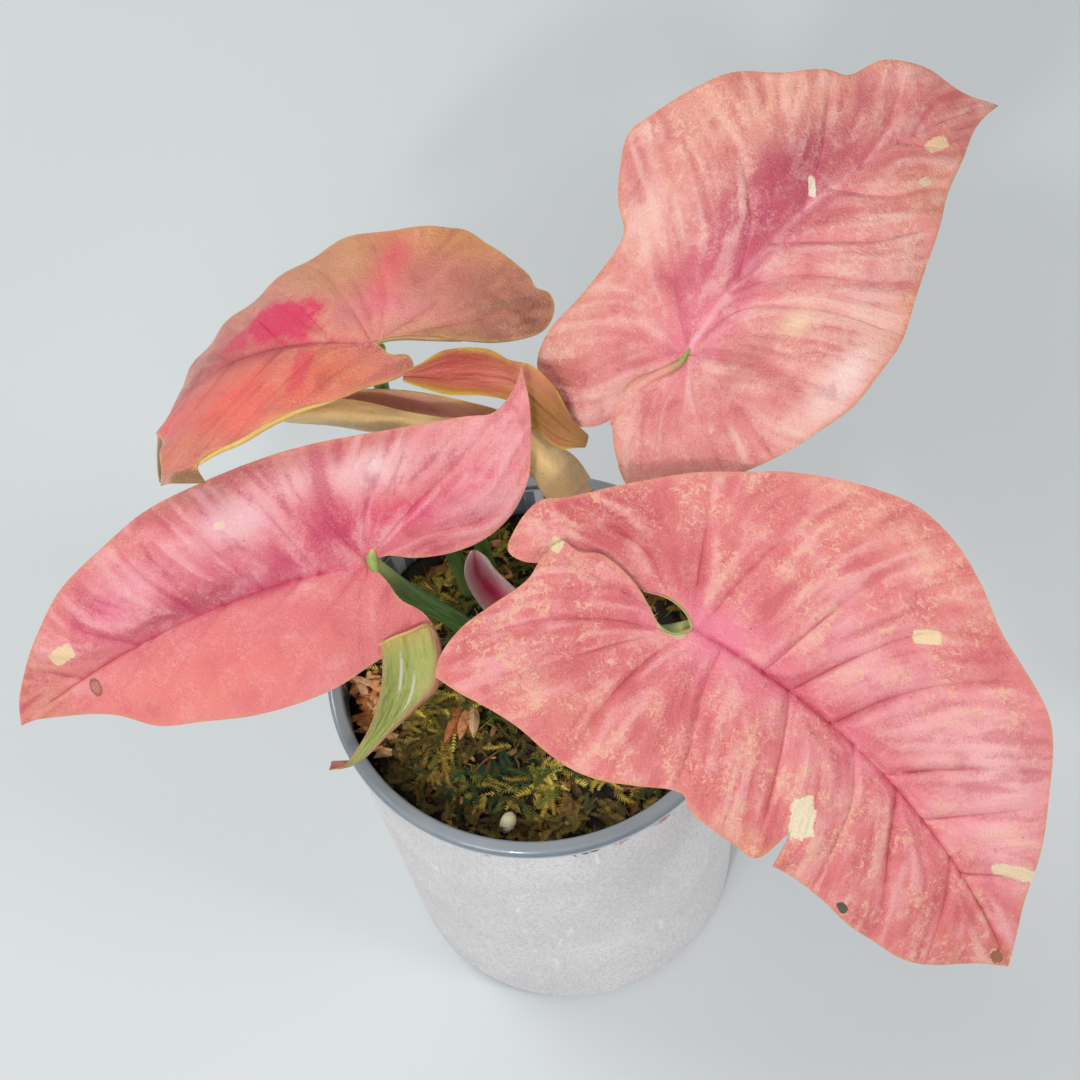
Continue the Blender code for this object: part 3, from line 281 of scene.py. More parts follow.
# Lofted pieces: each row runs from the near margin to the far one, and the rows follow one another.
FOLDED_LOBE = [
    [(-29.1, -12.6, 149.3), (-23.8, -11.8, 150), (-18.7, -11, 150.6)],
    [(-29.8, -15.1, 143.4), (-24.2, -13.8, 142.4), (-18.5, -13.9, 143.2)],
    [(-32.1, -17.2, 134), (-26.4, -15.9, 132), (-20.7, -16.6, 134)],
    [(-35.1, -19.3, 127), (-30.3, -17.5, 125), (-25.2, -16.4, 127)],
    [(-38.6, -20.6, 121), (-35.8, -19.8, 120), (-32.5, -19, 121)],
    [(-42.5, -22.2, 117), (-40.7, -22, 116.5), (-38.4, -21.1, 117)],
    [(-45.4, -22.6, 117), (-45.1, -21.9, 117), (-44.6, -21.2, 118)],
]
FURLED_LEAF = [
    [(16.6, 16.4, 149.1), (13.1, 12.4, 151.4), (8.9, 12.3, 146.7), (11.8, 15.9, 140.8), (16.7, 17.8, 142)],
    [(14.4, 19.2, 153), (10.6, 14, 155.8), (6.8, 14.4, 150.2), (9.1, 20.1, 145.4), (14.1, 22.1, 147.7)],
    [(10.9, 20.6, 157.2), (8.1, 15.3, 159.9), (5.5, 15.5, 154.3), (7.3, 21.5, 150.8), (10.9, 22.9, 152.8)],
    [(7.1, 22, 161.5), (5.3, 17.6, 162.4), (3.6, 16.8, 157.4), (4.6, 23.3, 154.1), (7.1, 25.6, 156.6)],
    [(0.7, 23.3, 164.5), (0.2, 19.5, 164.6), (-0.4, 19.3, 159.9), (0.3, 26.4, 155.9), (1.2, 28.9, 159.6)],
    [(-7.7, 26.1, 163.7), (-8.1, 22.8, 164.2), (-8.7, 23.3, 159.9), (-8.1, 30.4, 155.9),
     (-7.2, 32.7, 160.6)],
    [(-13.7, 28.7, 162.9), (-14, 25.4, 163.4), (-14.7, 25.9, 159.1), (-13.9, 33.4, 155.3),
     (-12.6, 35.5, 160)],
    [(-18.9, 31.4, 162.2), (-19.2, 28.3, 162.7), (-19.8, 28.4, 158.2), (-19.1, 36.3, 154.6),
     (-18.1, 38.1, 159)],
    [(-24.6, 34.6, 161.7), (-25, 31.1, 162), (-25.7, 30.9, 157.3), (-25.2, 38.6, 153.6),
     (-24.2, 40.2, 158)],
    [(-30.2, 37.7, 160), (-30.5, 34.2, 160.3), (-31.3, 34.2, 155.7), (-30.9, 40.5, 152.4),
     (-29.8, 41.6, 157)],
    [(-36.1, 39.8, 157.8), (-36.3, 36.7, 158.2), (-37, 37.1, 153.9), (-36.8, 41.9, 152.1),
     (-36.1, 42.7, 155)],
    [(-42.2, 42.2, 154.5), (-42.3, 40.2, 154.5), (-42.7, 40.5, 151.2), (-42.7, 43.7, 149.6),
     (-42.2, 44, 152)],
    [(-47.2, 45.1, 150.6), (-47.2, 44.2, 150.9), (-47.4, 43.8, 149.7), (-47.5, 45.7, 148.4),
     (-47.4, 46.2, 149)],
]
CUPPED_LEAF = [
    [(-16.6, 31.6, 171.8), (-16.5, 33, 171.1), (-16.2, 34, 171.6)],
    [(-14, 30, 171.7), (-13.2, 33.2, 170.1), (-12.8, 34.1, 172.9)],
    [(-8.7, 27.3, 171.3), (-8.3, 32.7, 168.7), (-7.9, 35.1, 174.6)],
    [(-1.4, 26, 170.6), (-1.4, 31.4, 167.9), (0.6, 33.6, 174.9)],
    [(3.5, 24.7, 168.7), (4.4, 29.1, 167.8), (4.5, 31.2, 173.5)],
    [(7.1, 20.8, 164.2), (7.3, 24.8, 168.8), (8.5, 30.3, 171.9)],
    [(11.5, 16.9, 161.5), (11.3, 20.5, 167), (12.3, 25.7, 169.9)],
    [(14.5, 16.7, 161), (14.6, 18.2, 164.4), (14.8, 20.2, 165.6)],
    [(16.3, 17, 160.1), (16.9, 17.9, 160.8), (17.3, 18.9, 161.5)],
]
UNFURLING_LEAF = [
    [(-9.8, 16.2, 128.2), (-9.2, 16.5, 127.8), (-8.5, 15.9, 128.2)],
    [(-11.2, 14.7, 127), (-9.2, 16, 125), (-7, 15.5, 126)],
    [(-12, 13.7, 123), (-9.1, 15.5, 120), (-5.8, 14.8, 122)],
    [(-11.6, 13.3, 117), (-8, 15.2, 114), (-3.8, 14.2, 117)],
    [(-10.2, 12.3, 111.5), (-6.3, 14.7, 109), (-1.8, 13.4, 112)],
    [(-8.3, 10.8, 108), (-4.7, 12.7, 106), (-1.4, 11.9, 108.2)],
    [(-5.4, 10.2, 105.6), (-4, 10.8, 105), (-2.7, 10.8, 105.6)],
]
# In a loft's zones, places are shares of its length and width.
LOFTS = {
    "folded_lobe": dict(
        rows=FOLDED_LOBE, node="leaf_blade_left", size=(60, 14),
        top=(200, 208, 112), under=(226, 124, 128), rim=(206, 160, 104), deep=(148, 168, 80),
        zones=[(0, 0.5, 0.08, 2, (226, 200, 110), 1), (0.35, 1, 0.35, 0.1, (170, 92, 70), 0.85),
            (0.7, 0.95, 0.3, 0.24, (240, 140, 138), 0.95), (0.45, 0.12, 0.4, 0.16, (150, 172, 74), 0.7),
            (0.95, 0.5, 0.08, 2, (150, 88, 60), 0.8)],
        # Both spots are painted highlights: thin pale streaks that stand for gloss on the lobe.
        spots=[(15, 4.6, 9, 0.42, (246, 250, 232), 0.85), (24, 7.8, 9, 0.36, (244, 248, 222), 0.75)],
            soft=0.3, gloss=0.22),
    "furled_leaf": dict(
        rows=FURLED_LEAF, node="leaf_blade_furled", size=(80, 16),
        top=(255, 212, 196), under=(255, 214, 148), rim=(246, 200, 128), deep=(238, 176, 138),
        zones=[(0.1, 0.3, 0.22, 0.6, (196, 160, 112), 0.6), (0.5, 0.9, 0.3, 0.2, (236, 146, 130), 0.5)],
            gloss=0.28),
    "cupped_leaf": dict(
        rows=CUPPED_LEAF, node="leaf_blade_cupped", size=(42, 13),
        top=(218, 116, 102), under=(176, 138, 44), rim=(208, 170, 60), deep=(150, 48, 46),
        zones=[(0.16, 0, 0.24, 0.24, (204, 170, 62), 0.95), (0.3, 0.88, 0.2, 0.26, (176, 62, 58), 0.8),
            (0.62, 0.15, 0.16, 0.5, (196, 158, 40), 0.95), (0.45, 0.5, 0.1, 0.3, (226, 140, 128), 0.7),
            # The zone at 0.8 along paints the down-curled end olive darkening to brown: the olive is the
            # leaf's own, the brown is painted shade.
            (0.8, 0.6, 0.15, 0.6, (152, 100, 14), 0.95), (0.95, 0.5, 0.08, 2, (170, 130, 50), 0.8)],
            gloss=0.4),
    "unfurling_leaf": dict(
        rows=UNFURLING_LEAF, node="leaf_blade_unfurling", size=(26, 9),
        top=(255, 200, 208), under=(200, 146, 130), rim=(255, 232, 226), deep=(190, 20, 78),
        zones=[(0.6, 0.5, 0.5, 0.27, (240, 24, 98), 0.98), (0.25, 0.5, 0.2, 0.16, (196, 40, 92), 0.8)],
            gloss=0.4),
}
for leaf in (*BLADES.values(), *LOFTS.values()):
    leaf.update({**PLAIN, **leaf})

# Each stem's radius at its foot and at its top, its foot's place, its bends, and its top where that isn't
# under a large blade.
STEMS = {
    "stem_upper_right": (2, 1.6, (6.5, 9.5), [(12, 11.5, 118), (26, 18.5, 141), (38, 26, 160)], None),
    "stem_upper_left": (1.9, 1.5, (-12.5, 22.5), [(-14.5, 27, 112), (-19.5, 36.5, 134), (-22, 42.2, 153)],
                        None),
    "stem_left": (2.1, 1.8, (-4, 2), [(-7.5, 1.5, 109), (-15.5, 2.2, 126), (-23.5, 2.5, 141)], None),
    "stem_front_right": (2.2, 1.8, (4.5, -2), [(8, -4, 114), (17, -13, 136), (25.5, -21.8, 151)], None),
    "stem_furled": (1.7, 1.4, (-6.5, 20.5), [(-7.6, 22, 118), (-8.6, 25, 136), (-8.4, 27.6, 148)],
                    (-8.2, 29.3, 154.9)),
    "stem_cupped": (1.5, 1.2, (10, 31.5), [(11, 31.5, 118), (10.5, 30.5, 140), (9, 29, 155)],
                    (7.9, 28, 168.6)),
    "stem_unfurling": (1.5, 1.1, (-1.5, 11), [(-2, 11.1, 100), (-2.6, 11.2, 101.5)], (-3.4, 11.2, 104.4)),
}

# Thin rolls on a leaf: the piece's ending, its course, radius, and the colours of its ends. The course is
# along, across and above the flat leaf, but the lobe's rim is in millimetres of the whole plant.
ROLLS = [
    ("upper_right", "rolled_edge", [
        (0.6, 0, 0.2), (-2, -0.1, 0.5), (-4.5, 1.2, 0.7), (-8, 3.4, 0.8), (-12, 5.2, 0.8), (-16, 6.4, 0.6),
        (-20, 6, 0.4)], 0.95, (132, 158, 62), (228, 146, 138)),
    ("upper_left", "rolled_edge", [
        (1, 0, 0.1), (-1.5, -1.2, 0.3), (-5, -2.3, 0.3), (-10, -3.1, 0.3), (-16, -4, 0.2)],
     0.5, (150, 160, 80), (178, 128, 88)),
    ("left", "rolled_edge", [
        (-1.4, -2.3, 0), (-0.9, 0.1, 0.4), (-1.3, 2.5, -0.2)], 1.2, (200, 196, 116), (146, 166, 82)),
    ("front_right", "rolled_edge", [
        (-11, 2, 0.1), (-6, 3, 0.1), (-2, 2.1, 0.2), (0.3, 0, 0.3), (-2.4, -2.6, 0.2), (-6, -2.1, 0.2),
        (-9, 0.2, 0.1)], 0.24, (216, 120, 118), (150, 162, 84)),
    ("upper_left", "rolled_margin", [
        (33.5, 31.5, -0.1), (27.5, 28, -0.1), (22.5, 26, -0.1), (17, 22, -0.1), (11.5, 18.5, -0.1),
        (5, 15.4, -0.1)], 0.6, (232, 192, 104), (222, 180, 96)),
    ("left", "lobe_rim", [
        (-29.4, -12.8, 148.9), (-26.4, -12.2, 149.8), (-23.2, -11.8, 150.2), (-19.6, -11.2, 150.5),
        (-18.4, -12.2, 148), (-18.4, -13.9, 143.2), (-20.6, -16.5, 134), (-25.1, -16.3, 127),
        (-32.4, -18.9, 121)], 0.55, (222, 190, 106), (160, 88, 70)),
]

# Dirt on the outer pot below the lip: place, radius and colour.
STAINS = [
    ((3.5, -43.8, 103.4), 1.7, (36, 42, 50)), ((5.4, -43.6, 103.2), 1.4, (44, 50, 56)),
    ((1.2, -43.9, 102.6), 1, (70, 70, 72)), ((20.2, -39, 103.4), 3.4, (176, 108, 92)),
    ((10.7, -42.6, 103.2), 2.2, (190, 140, 128)), ((-30, -32.2, 103.4), 1.6, (60, 66, 74)),
    ((-17, -40.6, 103.6), 1.6, (84, 88, 92)), ((-35.6, -26, 102.4), 3.4, (58, 70, 84)),
]

# Single bark chips: place, size and colour.
CHIPS = [
    (-36, 1, 2.6, (204, 130, 76)), (-35, -5, 2.2, (190, 118, 68)), (-36, 5, 2, (186, 116, 68)),
    (-33.5, -9.5, 2, (226, 164, 110)), (-5.5, 33.5, 2.2, (228, 156, 124)),
    (-17.5, -7.5, 2.4, (222, 130, 76)), (-17, -10.5, 2, (206, 112, 62)), (-19, -5.5, 1.8, (196, 120, 66)),
]


def linear(colour):
    """A colour as seen, 0 to 255, in the renderer's linear values."""
    c = np.asarray(colour, float) / 255
    return np.where(c <= 0.04045, c / 12.92, ((c + 0.055) / 1.055) ** 2.4)


def spin(axis, angle):
    """The rotation by an angle about axis 0, 1 or 2."""
    matrix = np.eye(3)
    a, b = (axis + 1) % 3, (axis + 2) % 3
    matrix[a, a] = matrix[b, b] = cos(radians(angle))
    matrix[b, a] = sin(radians(angle))
    matrix[a, b] = -matrix[b, a]
    return matrix


def unit(vectors):
    return vectors / np.linalg.norm(vectors, axis=-1, keepdims=True)


def run_along(steps):
    return np.concatenate([[0], np.cumsum(steps)])


def circle(count, radius):
    return [(radius * cos(2 * pi * k / count), radius * sin(2 * pi * k / count)) for k in range(count)]


def ease(low, high, value):
    """0 before low, 1 past high, and a smooth step between; low may be the larger."""
    t = np.clip((value - low) / (high - low), 0, 1)
    return t * t * (3 - 2 * t)


def bell(value, width):
    return np.exp(-(value / width) ** 2)


def smooth_line(points, spacing):
    """A smooth line through the points, read at equal steps of about the spacing."""
    given = np.array(points, float)
    ends = np.vstack([2 * given[0] - given[1], given, 2 * given[-1] - given[-2]])
    knots = run_along(np.sqrt(np.linalg.norm(np.diff(ends, axis=0), axis=1)))
    pieces = []
    for i in range(1, len(ends) - 2):
        t = np.linspace(knots[i], knots[i + 1], SPLINE_STEPS, endpoint=False)[:, None]
        level = ends[i - 1:i + 3]
        for spans in (((0, 1), (1, 2), (2, 3)), ((0, 2), (1, 3)), ((1, 2),)):
            spans = [(knots[i - 1 + first], knots[i - 1 + last]) for first, last in spans]
            level = [(high - t) / (high - low) * a + (t - low) / (high - low) * b
                     for (low, high), a, b in zip(spans, level, level[1:])]
        pieces += level
    line = np.vstack(pieces + [given[-1:]])
    run = run_along(np.linalg.norm(np.diff(line, axis=0), axis=1))
    steps = np.linspace(0, run[-1], max(2, round(run[-1] / spacing) + 1))
    return np.stack([np.interp(steps, run, values) for values in line.T], -1)


def evenly(line, count):
    """This many of the line's points, at about equal steps."""
    return line[np.linspace(0, len(line) - 1, count).round().astype(int)]


def margin_line(points):
    """An outline read at equal steps, kept sharp where the list holds None."""
    strokes = [[]]
    for point in points:
        if point is None:
            strokes.append([strokes[-1][-1]])
        else:
            strokes[-1].append(point)
    first, *others = (smooth_line(stroke, MARGIN_STEP) for stroke in strokes)
    return np.vstack([first] + [line[1:] for line in others])


def midrib_frames(blade):
    """Places and frames along the midrib at steps of 1 mm, from behind the lobes to past the tip."""
    start = spin(2, blade["heading"]) @ spin(1, -blade["pitch"]) @ spin(0, blade["roll"])
    stations = np.arange(-BEHIND, int(blade["length"] * PAST_TIP))
    frames = []
    for t in stations / blade["length"]:
        if t >= 0:
            bend = spin(2, blade["sweep"] * t) @ spin(1, blade["droop"] * t) @ spin(0, blade["twist"] * t)
        else:
            bend = spin(1, blade["back_droop"] * t)
        frames.append(start @ bend)
    frames = np.array(frames)
    forward = frames[:, :, 0]
    places = np.vstack([[0, 0, 0], np.cumsum(0.5 * (forward[1:] + forward[:-1]), axis=0)])
    return stations, places - places[BEHIND] + np.array(blade["at"]), frames


def on_blade(blade, along, across, lift, midrib):
    """Places on the bent blade for flat places on it; lift raises them off the middle surface."""
    stations, places, frames = midrib
    left = across >= 0
    fold, curl, lobe = (np.where(left, *blade[key]) for key in ("fold", "curl", "lobe_curl"))
    fold = np.radians(fold)
    bend = np.radians(curl + lobe * ease(0, LOBE_CURL_END, along / blade["length"])) / blade["length"]
    bend = np.where(np.abs(bend) < STRAIGHT, STRAIGHT, bend)
    slope = fold + bend * np.abs(across)
    sideways = (np.sin(slope) - np.sin(fold)) / bend + lift * np.sin(slope)
    upward = (np.cos(slope) - np.cos(fold)) / bend + lift * np.cos(slope)
    centre, lateral, normal = (np.stack([np.interp(along, stations, table[:, i]) for i in range(3)], -1)
                               for table in (places, frames[:, :, 1], frames[:, :, 2]))
    return centre + lateral * np.where(left, sideways, -sideways)[:, None] + normal * upward[:, None]


def line_distance(points, line):
    """How far each flat point is from a line, and how far along the line its nearest place is."""
    step = line[1:] - line[:-1]
    size = (step ** 2).sum(1) + 1e-12
    best = np.full(len(points), 1e9)
    where = np.zeros(len(points))
    for place, ahead, square, run in zip(line, step, size, run_along(np.sqrt(size))):
        t = np.clip(((points - place) @ ahead) / square, 0, 1)
        apart = np.linalg.norm(points - place - t[:, None] * ahead, axis=1)
        where = np.where(apart < best, run + t * np.sqrt(square), where)
        best = np.minimum(apart, best)
    return best, where


def inside(points, ring):
    """Which flat points lie inside the closed ring."""
    x, y = points.T
    found = np.zeros(len(points), bool)
    for (x1, y1), (x2, y2) in zip(ring, np.roll(ring, -1, axis=0)):
        if y1 != y2:
            found ^= ((y1 > y) != (y2 > y)) & (x < (x2 - x1) * (y - y1) / (y2 - y1) + x1)
    return found


def beside(lines, reach):
    """Points along each line and at the reach to both sides of it."""
    found = []
    for line in lines:
        ahead = unit(np.gradient(line, axis=0))
        aside = np.stack([-ahead[:, 1], ahead[:, 0]], -1) * reach
        found += [line + aside, line, line - aside]
    return np.vstack(found)


def spread_out(points, gap):
    """The points, less those that fall in a square of the gap that is already taken."""
    kept = {}
    for point in points:
        kept.setdefault((int(point[0] // gap), int(point[1] // gap)), point)
    return np.array(list(kept.values()))


def half_blade(blade, side, midrib, courses):
    """Flat points and triangles of one half; its first points are the shared midrib's."""
    margin = margin_line(blade[side])
    ring = np.vstack([midrib, margin[1:-1]])
    closed = np.vstack([ring, ring[:1]])
    course = beside([line[::2] for line in courses] + [midrib[1:-1]], VEIN_ROW_REACH)
    course = spread_out(course[inside(course, ring)], VEIN_ROW_GAP)
    course = course[line_distance(course, closed)[0] > VEIN_ROW_CLEARANCE]
    low, high = ring.min(0), ring.max(0)
    row_step = MESH_STEP * sin(pi / 3)
    grid = []
    for row in range(int((high[1] - low[1]) / row_step) + 1):
        for x in np.arange(low[0] + 0.5 * MESH_STEP * (row % 2), high[0], MESH_STEP):
            grid.append((x, low[1] + 0.5 * row_step + row * row_step))
    grid = np.array(grid)
    grid = grid[inside(grid, ring)]
    grid = grid[line_distance(grid, closed)[0] > 0.55 * MESH_STEP]
    near = [((course - point) ** 2).sum(1).min() for point in grid]
    grid = grid[np.array(near) > (0.6 * MESH_STEP) ** 2]
    face = list(range(len(ring)))
    if side == "right":
        face.reverse()
    flat = [Vector(point) for point in np.vstack([ring, course, grid])]
    found = delaunay_2d_cdt(flat, [], [face], 1, 1e-6)
    return np.array([tuple(point) for point in found[0]]), found[2], margin


def facing_up(places, triangles):
    """The triangles, turned so that neighbours agree and the sheet faces up on the whole."""
    mesh = bmesh.new()
    corners = [mesh.verts.new(tuple(place)) for place in places]
    for triangle in triangles:
        mesh.faces.new([corners[i] for i in triangle])
    bmesh.ops.recalc_face_normals(mesh, faces=mesh.faces[:])
    mesh.verts.index_update()
    order = 1 if sum(face.normal.z * face.calc_area() for face in mesh.faces) > 0 else -1
    found = np.array([[corner.index for corner in face.verts][::order] for face in mesh.faces])
    mesh.free()
    return found


def thicken(places, triangles, half):
    """Both faces and the rim of a sheet with its own half thickness at each place."""
    corners = places[triangles]
    facing = np.cross(corners[:, 1] - corners[:, 0], corners[:, 2] - corners[:, 0])
    normals = np.zeros_like(places)
    for k in range(3):
        np.add.at(normals, triangles[:, k], facing)
    normals /= np.linalg.norm(normals, axis=1)[:, None] + 1e-12
    lift = normals * half[:, None]
    count = len(places)
    faces = triangles.tolist() + (triangles[:, ::-1] + count).tolist()
    edges = {(t[k], t[k - 2]) for t in triangles.tolist() for k in range(3)}
    faces += [(b, a, a + count, b + count) for a, b in sorted(edges) if (b, a) not in edges]
    return np.vstack([places + lift, places - lift]), faces


def add_piece(name, node, places, faces, marks, material, smooth_angle=60):
    """A mesh piece in a node's place, with named values of one, three or four numbers at its corners."""
    mesh = bpy.data.meshes.new(name)
    mesh.from_pydata((np.asarray(places) * MM).tolist(), [], [tuple(map(int, face)) for face in faces])
    mesh.shade_smooth()
    mesh.set_sharp_from_angle(angle=radians(smooth_angle))
    kinds = {1: ("FLOAT", "value"), 3: ("FLOAT_VECTOR", "vector"), 4: ("FLOAT_COLOR", "color")}
    for key, values in marks.items():
        values = np.asarray(values, np.float32)
        kind, field = kinds[values[0].size]
        mesh.attributes.new(key, kind, "POINT").data.foreach_set(field, values.ravel())
    mesh.materials.append(material)
    piece = bpy.data.objects.new(name, mesh)
    bpy.context.scene.collection.objects.link(piece)
    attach(piece, "root")
    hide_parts(node)


def oval(along, across, zone):
    """How far flat places are from a soft place's centre, squared, 1 at its reach."""
    return ((along - zone[0]) / zone[2]) ** 2 + ((across - zone[1]) / zone[3]) ** 2


def painted(base, zones, along, across):
    """The colour at each flat place: the base, then each soft zone over it."""
    colour = np.tile(linear(base), (len(along), 1))
    for zone in zones:
        weight = (zone[5] * np.exp(-oval(along, across, zone)))[:, None]
        colour = colour * (1 - weight) + linear(zone[4]) * weight
    return colour


def leaf_marks(tones, along, across, **values):
    """A leaf's named values, for one list of tones or for those of its upper and its lower face."""
    tone = np.concatenate(tones)
    marks = {"tone": np.hstack([tone, np.ones((len(tone), 1))]),
             "flat": np.tile(np.stack([along, across, 0 * along], -1), (len(tones), 1))}
    for key, value in {"streak": 0.5, "vein": 0, "edge": 0, "fleck": 0, "wild": 1, **values}.items():
        marks[key] = np.tile(value + 0 * along, len(tones))
    marks["fleck"][len(along):] = 0
    return marks


class Field:
    """A value, place or colour in a material's node tree."""

    def __init__(self, nodes, socket):
        self.nodes, self.socket = nodes, socket

    def maths(self, operation, other=0.0):
        return self.nodes.node("Math", {0: self, 1: other}, operation=operation)

    def __add__(self, other):
        return self.maths("ADD", other)

    def __sub__(self, other):
        return self.maths("SUBTRACT", other)

    def __mul__(self, other):
        return self.maths("MULTIPLY", other)

    def __abs__(self):
        return self.maths("ABSOLUTE")

    def ramp(self, low, high, low_out=0, high_out=1):
        """A smooth step between two values; low may be the larger."""
        limits = {"From Min": low, "From Max": high, "To Min": low_out, "To Max": high_out}
        return self.nodes.node("MapRange", {"Value": self, **limits}, interpolation_type="SMOOTHSTEP")


class Nodes:
    """One material's node tree, with the colour made so far."""

    def __init__(self, name, colour=None):
        self.material = bpy.data.materials.new(name)
        self.material.use_nodes = True
        self.tree = self.material.node_tree
        self.colour = colour or self.mark("tone", "Color")

    def put(self, socket, value):
        if isinstance(value, Field):
            self.tree.links.new(value.socket, socket)
        else:
            socket.default_value = (*linear(value), 1) if socket.type == "RGBA" else value

    def node(self, kind, inputs, output=0, **settings):
        """One output of a new node with these inputs and settings."""
        node = self.tree.nodes.new("ShaderNode" + kind)
        for key, value in settings.items():
            setattr(node, key, value)
        for key, value in inputs.items():
            self.put(node.inputs[key], value)
        return Field(self, node.outputs[output])

    def mark(self, name, output="Fac"):
        return self.node("Attribute", {}, output, attribute_name=name)

    def place(self):
        return self.node("TexCoord", {}, "Object")

    def stretch(self, vector, scale):
        return self.node("Mapping", {"Vector": vector, "Scale": scale})

    def noise(self, vector, scale, detail, rough, distortion=0):
        return self.node("TexNoise", {"Vector": vector, "Scale": scale, "Detail": detail,
                                      "Roughness": rough, "Distortion": distortion})

    def cells(self, vector, scale):
        return self.node("TexVoronoi", {"Vector": vector, "Scale": scale})

    def near(self, place, centre, radius):
        """1 at the centre and 0 past the radius."""
        centre = tuple(value * MM for value in centre)
        far = self.node("VectorMath", {0: place, 1: centre}, "Value", operation="DISTANCE")
        return far.ramp(radius * MM, 0.3 * radius * MM)

    def above(self, place, low, high):
        """0 below the low height and 1 above the high one; low may be the larger."""
        return self.node("SeparateXYZ", {0: place}, "Z").ramp(low * MM, high * MM)

    def reach(self, flat, x, y, reach_x, reach_y, turn=0, square=0.55):
        """How far a flat place is from an oval's or rounded oblong's centre, 1 at its edge."""
        shape = {"Location": (x, y, 0), "Rotation": (0, 0, radians(turn)), "Scale": (reach_x, reach_y, 1)}
        moved = self.node("Mapping", {"Vector": flat, **shape}, vector_type="TEXTURE")
        size = self.node("VectorMath", {0: moved}, "Value", operation="LENGTH")
        aside, ahead = (abs(self.node("SeparateXYZ", {0: moved}, axis)) for axis in "XY")
        return size * (1 - square) + aside.maths("MAXIMUM", ahead) * (square * 1.12)

    def tint(self, *layers):
        """Lays tones over the colour, each by its share."""
        for tone, share in layers:
            self.colour = self.node("Mix", {0: share, 6: self.colour, 7: tone}, 2, data_type="RGBA")

    def bump(self, height, depth, strength):
        normal = self.node("Bump", {"Strength": strength, "Distance": depth * MM, "Height": height})
        return {"Normal": normal, "Coat Normal": normal}

    def shade(self, inputs):
        """The finished material."""
        shader = self.tree.nodes["Principled BSDF"]
        for key, value in {"Base Color": self.colour, **inputs}.items():
            self.put(shader.inputs[key], value)
        return self.material


def leaf_material(name, leaf, gloss=0.31, mottle=1):
    """A leaf's skin: painted tones broken up by streaks along the veins, cream flecks and fine grain."""
    n = Nodes(name + "_skin")
    pale, deep = leaf["pale"], leaf["deep"]
    flat, streak, vein = n.mark("flat", "Vector"), n.mark("streak"), n.mark("vein")
    fine = n.noise(flat, 1.7, 4, 0.65)
    light = streak * 0.68 + fine * 0.32
    blotch = n.noise(flat, 0.13, 6, 0.62, 0.25)
    wild = n.mark("wild") * mottle
    streaky = wild * (0.7 * leaf["streaky"])
    lace = n.noise(flat, 0.72, 6, 0.66, 1.3) * 0.82 + streak * 0.18
    thread = abs(n.noise(flat, 0.5, 4, 0.6, 0.8) - 0.5)
    lace = lace.ramp(0.53, 0.56).maths("MAXIMUM", thread.ramp(0.022, 0.008, 0, 0.7))
    patchy = n.noise(flat, 0.12, 3, 0.55).ramp(0.42, 0.56)
    broken = n.noise(flat, 0.25, 3, 0.6).ramp(0.38, 0.58, 0.35, 0.95)
    n.tint((pale, blotch.ramp(0.5, 0.68, 0, 0.4) * wild), (deep, blotch.ramp(0.48, 0.28, 0, 0.5) * wild),
           (pale, light.ramp(0.51, 0.70) * streaky), (deep, light.ramp(0.49, 0.28) * streaky),
           (leaf["fleck"], lace * (patchy * n.mark("fleck"))), (leaf["vein"], vein * leaf["drawn"]),
           (leaf["rim"], n.mark("edge") * broken))
    scale, size = leaf["ragged"]
    ragged = (n.noise(flat, scale, 5, 0.7) - 0.5) * size
    for x, y, reach_x, reach_y, tone, strength, *turn in leaf["spots"]:
        far = n.reach(flat, x, y, reach_x, reach_y, *turn) + ragged
        n.tint((tone, far.ramp(1 + leaf["soft"], 1 - leaf["soft"], 0, strength)))
    if leaf["ring"]:
        far = n.reach(flat, *leaf["ring"], square=0) + ragged * 0.3
        n.tint(((150, 96, 66), far.ramp(1, 0.7, 0, 0.6)),
               ((104, 62, 42), abs(far - 0.9).ramp(0.26, 0.1, 0, 0.7)))
    grit = n.noise(flat, 3.4, 2, 0.7)
    n.tint((pale, grit.ramp(0.52, 0.72, 0, 0.3)), (deep, grit.ramp(0.48, 0.28, 0, 0.34)),
           (SPECK, n.cells(flat, 0.2).ramp(0.05, 0.03) * 0.5))
    relief = fine * 0.6 + streak * 1.3 - vein * 0.5
    return n.shade({"Roughness": light.ramp(0.3, 0.7, gloss + 0.1, gloss - 0.06), "Coat Weight": 0.3,
                    "Coat Roughness": 0.2, "Subsurface Weight": 0.08, "Subsurface Scale": 0.001,
                    "Subsurface Radius": (1, 0.35, 0.25), **n.bump(relief, 0.65, 0.95)})


def vein_turns(points, courses):
    """Which way the veins near each flat point run, as an angle."""
    middle = np.vstack([(course[1:] + course[:-1]) / 2 for course in courses])
    steps = np.vstack([np.diff(course, axis=0) for course in courses])
    turn = 2 * np.arctan2(steps[:, 1], steps[:, 0])
    far = ((points ** 2).sum(1)[:, None] + (middle ** 2).sum(1)[None] - 2 * points @ middle.T)
    weight = 1 / (far + 3) ** 2
    return 0.5 * np.arctan2(weight @ np.sin(turn), weight @ np.cos(turn))


def grain(points, cell, table):
    """Smooth random values on a square lattice of the given cell."""
    place = points / cell + 500
    corner = np.floor(place).astype(int)
    part = place - corner
    u, v = (part * part * (3 - 2 * part)).T
    i, j = corner.T % len(table)
    after_i, after_j = (corner.T + 1) % len(table)
    low = table[i, j] * (1 - u) + table[after_i, j] * u
    high = table[i, after_j] * (1 - u) + table[after_i, after_j] * u
    return low * (1 - v) + high * v


